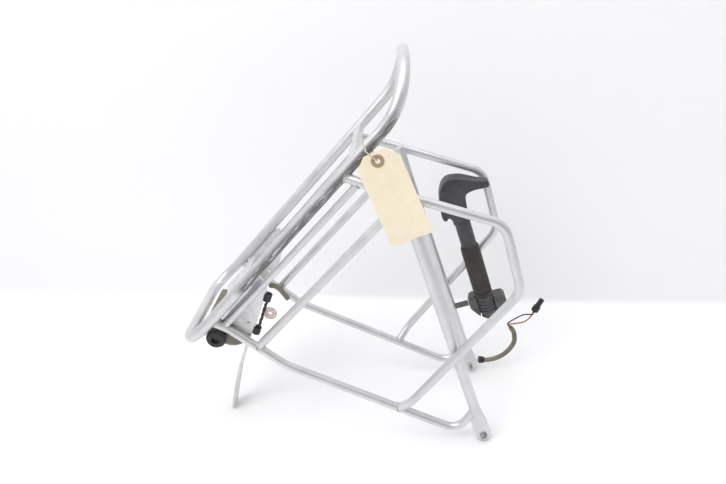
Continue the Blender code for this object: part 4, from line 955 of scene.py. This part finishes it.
def build_string():
    """Two cotton strands twisted round one line, over the platform tube and through the card's eye."""
    reach = PLATFORM_R + STRING_DIA / 2 + GAP
    u, n = TAG_HOLE.x, TAG_HOLE.z
    loop = []
    for k in range(26):
        a = math.radians(-80 + 250 * k / 25)
        loop.append(Vector((u, -PLATFORM_HALF + reach * math.cos(a), PLATFORM_HEIGHT + reach * math.sin(a))))
    outside = TAG_HOLE.y - TAG_THICK / 2 - 0.0022
    inside = TAG_HOLE.y + TAG_THICK / 2 + 0.0014
    over_top = n + math.hypot(TAG_HOLE_DOWN, TAG_WIDE / 4) + STRING_DIA
    loop += [Vector((u, outside, over_top)), Vector((u, outside, n + 0.002)),
             Vector((u, TAG_HOLE.y - 0.0005, n)), Vector((u, inside, n + 0.001))]
    line = evenly(loop + [loop[0]], 0.0004)[:-1]
    strands = []
    turns = round(long(line) / 0.0035)
    for start in (0.0, math.pi):
        points = []
        for i, spot in enumerate(line):
            ahead = (line[(i + 1) % len(line)] - line[i - 1]).normalized()
            side = Vector((1, 0, 0))
            other = ahead.cross(side).normalized()
            a = start + 2 * math.pi * turns * i / len(line)
            points.append(spot + (side * math.cos(a) + other * math.sin(a)) * STRING_DIA * 0.24)
        strands.append(swept("strand", in_world(points), STRING_DIA * 0.29, 8, True))
    piece(joined("tag_string_twisted", strands), "tag", STRING, "tag_cord", "tag_string")


build_tag()


# ---------------------------------------------------------------- carried CAD nodes
# a look, the width of the soft edges, and the nodes that keep their CAD shape
CARRIED = (
    (PLATE, 0.0004, ("bracket_cheek_left", "bracket_cheek_right", "bracket_web")),
    (KHAKI, 0.0004, ("bracket_shield", "buffer_ear", "buffer_backing")),
    (TONGUE, 0.0005, ("tongue",)),
    (STEEL, 0.0003, ("tongue_bolt_1", "tongue_bolt_2", "tongue_nut_1", "tongue_nut_2")),
    (STEEL, 0.0002, ("eyelet_screw_left", "eyelet_screw_right")),
    (STEEL, 0.0, ("head_peg", "pump_piston")),
    (RUBBER, 0.0, ("rubber_buffer",)),
    (BLACK, 0.0003, ("buffer_screw", "lead_clip_1", "lead_clip_2")),
    (CLEAR, 0.0002, ("clear_disc",)),
    (LABEL, 0.0, ("blank_label",)),
    (SHEATH, 0.0, ("upper_cable",)),
    (HOLDER, 0.0, ("holder_arm",)),
    (HOLDER, 0.0008, ("pump_saddle",)),
    (SILVER, 0.0006, ("rear_bridge",)),
)
for look, soft, names in CARRIED:
    for name in names:
        paint(NODES[name], look)
        if soft:
            bevelled(NODES[name], soft)


# ---------------------------------------------------------------- floor, wall and light
WALL_TURN = math.radians(-4.0)
WALL_PLACE = 0.27  # behind the rack's middle
WALL_HEIGHT = 3.0
FLOOR_FRONT = -3.0
FLOOR_HALF = 4.0
COVE_RADIUS = 0.012
SKY_DARK, SKY_BRIGHT, SKY_WAY = 0.07, 0.87, (-0.45, -0.10, 0.85)
LIGHT = 0.63  # times the watts of each lamp


def make_stage():
    """A pale floor that turns up into a wall through a tight cove."""
    radius = COVE_RADIUS
    start = WALL_PLACE - radius
    line = [(FLOOR_FRONT, 0.0), (start, 0.0)]
    for k in range(1, 9):
        a = math.pi / 2 * k / 8
        line.append((start + radius * math.sin(a), radius - radius * math.cos(a)))
    line.append((WALL_PLACE, WALL_HEIGHT))
    bm = bmesh.new()
    near = [bm.verts.new((-FLOOR_HALF, y, z)) for y, z in line]
    far = [bm.verts.new((FLOOR_HALF, y, z)) for y, z in line]
    for k in range(len(line) - 1):
        bm.faces.new((near[k], near[k + 1], far[k + 1], far[k]))
    floor = finished("studio_floor", bm)
    m = Nodes("studio_white")
    m.set(Base_Color=m.mix(m.noise(3, 2), (0.90, 0.898, 0.905, 1), (0.92, 0.917, 0.92, 1)), Roughness=0.55)
    paint(floor, m.mat)
    floor.rotation_euler = (0, 0, WALL_TURN)


def area(name, spot, target, size, power, colour=(1, 1, 1)):
    data = bpy.data.lights.new(name, "AREA")
    data.shape = "RECTANGLE"
    data.size, data.size_y = size
    data.energy = power
    data.color = colour
    light = bpy.data.objects.new(name, data)
    bpy.context.scene.collection.objects.link(light)
    light.location = spot
    light.rotation_euler = (Vector(target) - Vector(spot)).to_track_quat("-Z", "Y").to_euler()


def make_sky():
    """Bright from the upper left, dark from the lower right, so that round tubes keep their shading."""
    world = bpy.data.worlds.new("studio")
    bpy.context.scene.world = world
    world.use_nodes = True
    tree = world.node_tree
    back = tree.nodes["Background"]
    facing = tree.nodes.new("ShaderNodeVectorMath")
    facing.operation = "DOT_PRODUCT"
    tree.links.new(tree.nodes.new("ShaderNodeTexCoord").outputs["Generated"], facing.inputs[0])
    facing.inputs[1].default_value = Vector(SKY_WAY).normalized()
    ramp = tree.nodes.new("ShaderNodeMapRange")
    limits = (("From Min", -0.35), ("From Max", 0.95), ("To Min", SKY_DARK), ("To Max", SKY_BRIGHT))
    for key, number in limits:
        ramp.inputs[key].default_value = number
    tree.links.new(facing.outputs["Value"], ramp.inputs["Value"])
    back.inputs["Color"].default_value = (0.97, 0.98, 1.0, 1)
    tree.links.new(ramp.outputs["Result"], back.inputs["Strength"])


def make_light():
    make_sky()
    area("key", (-0.9, -0.9, 1.7), (0, 0, 0.2), (1.2, 1.2), 26 * LIGHT)
    area("top", (0.2, 0.0, 1.9), (0, 0, 0.1), (1.6, 1.2), 20 * LIGHT)
    area("fill", (1.4, -0.5, 0.9), (0, 0, 0.2), (1.0, 1.4), 4 * LIGHT, (1.0, 0.99, 0.98))


bpy.context.scene.view_settings.view_transform = "Standard"  # the pale studio stays pale
make_stage()
make_light()
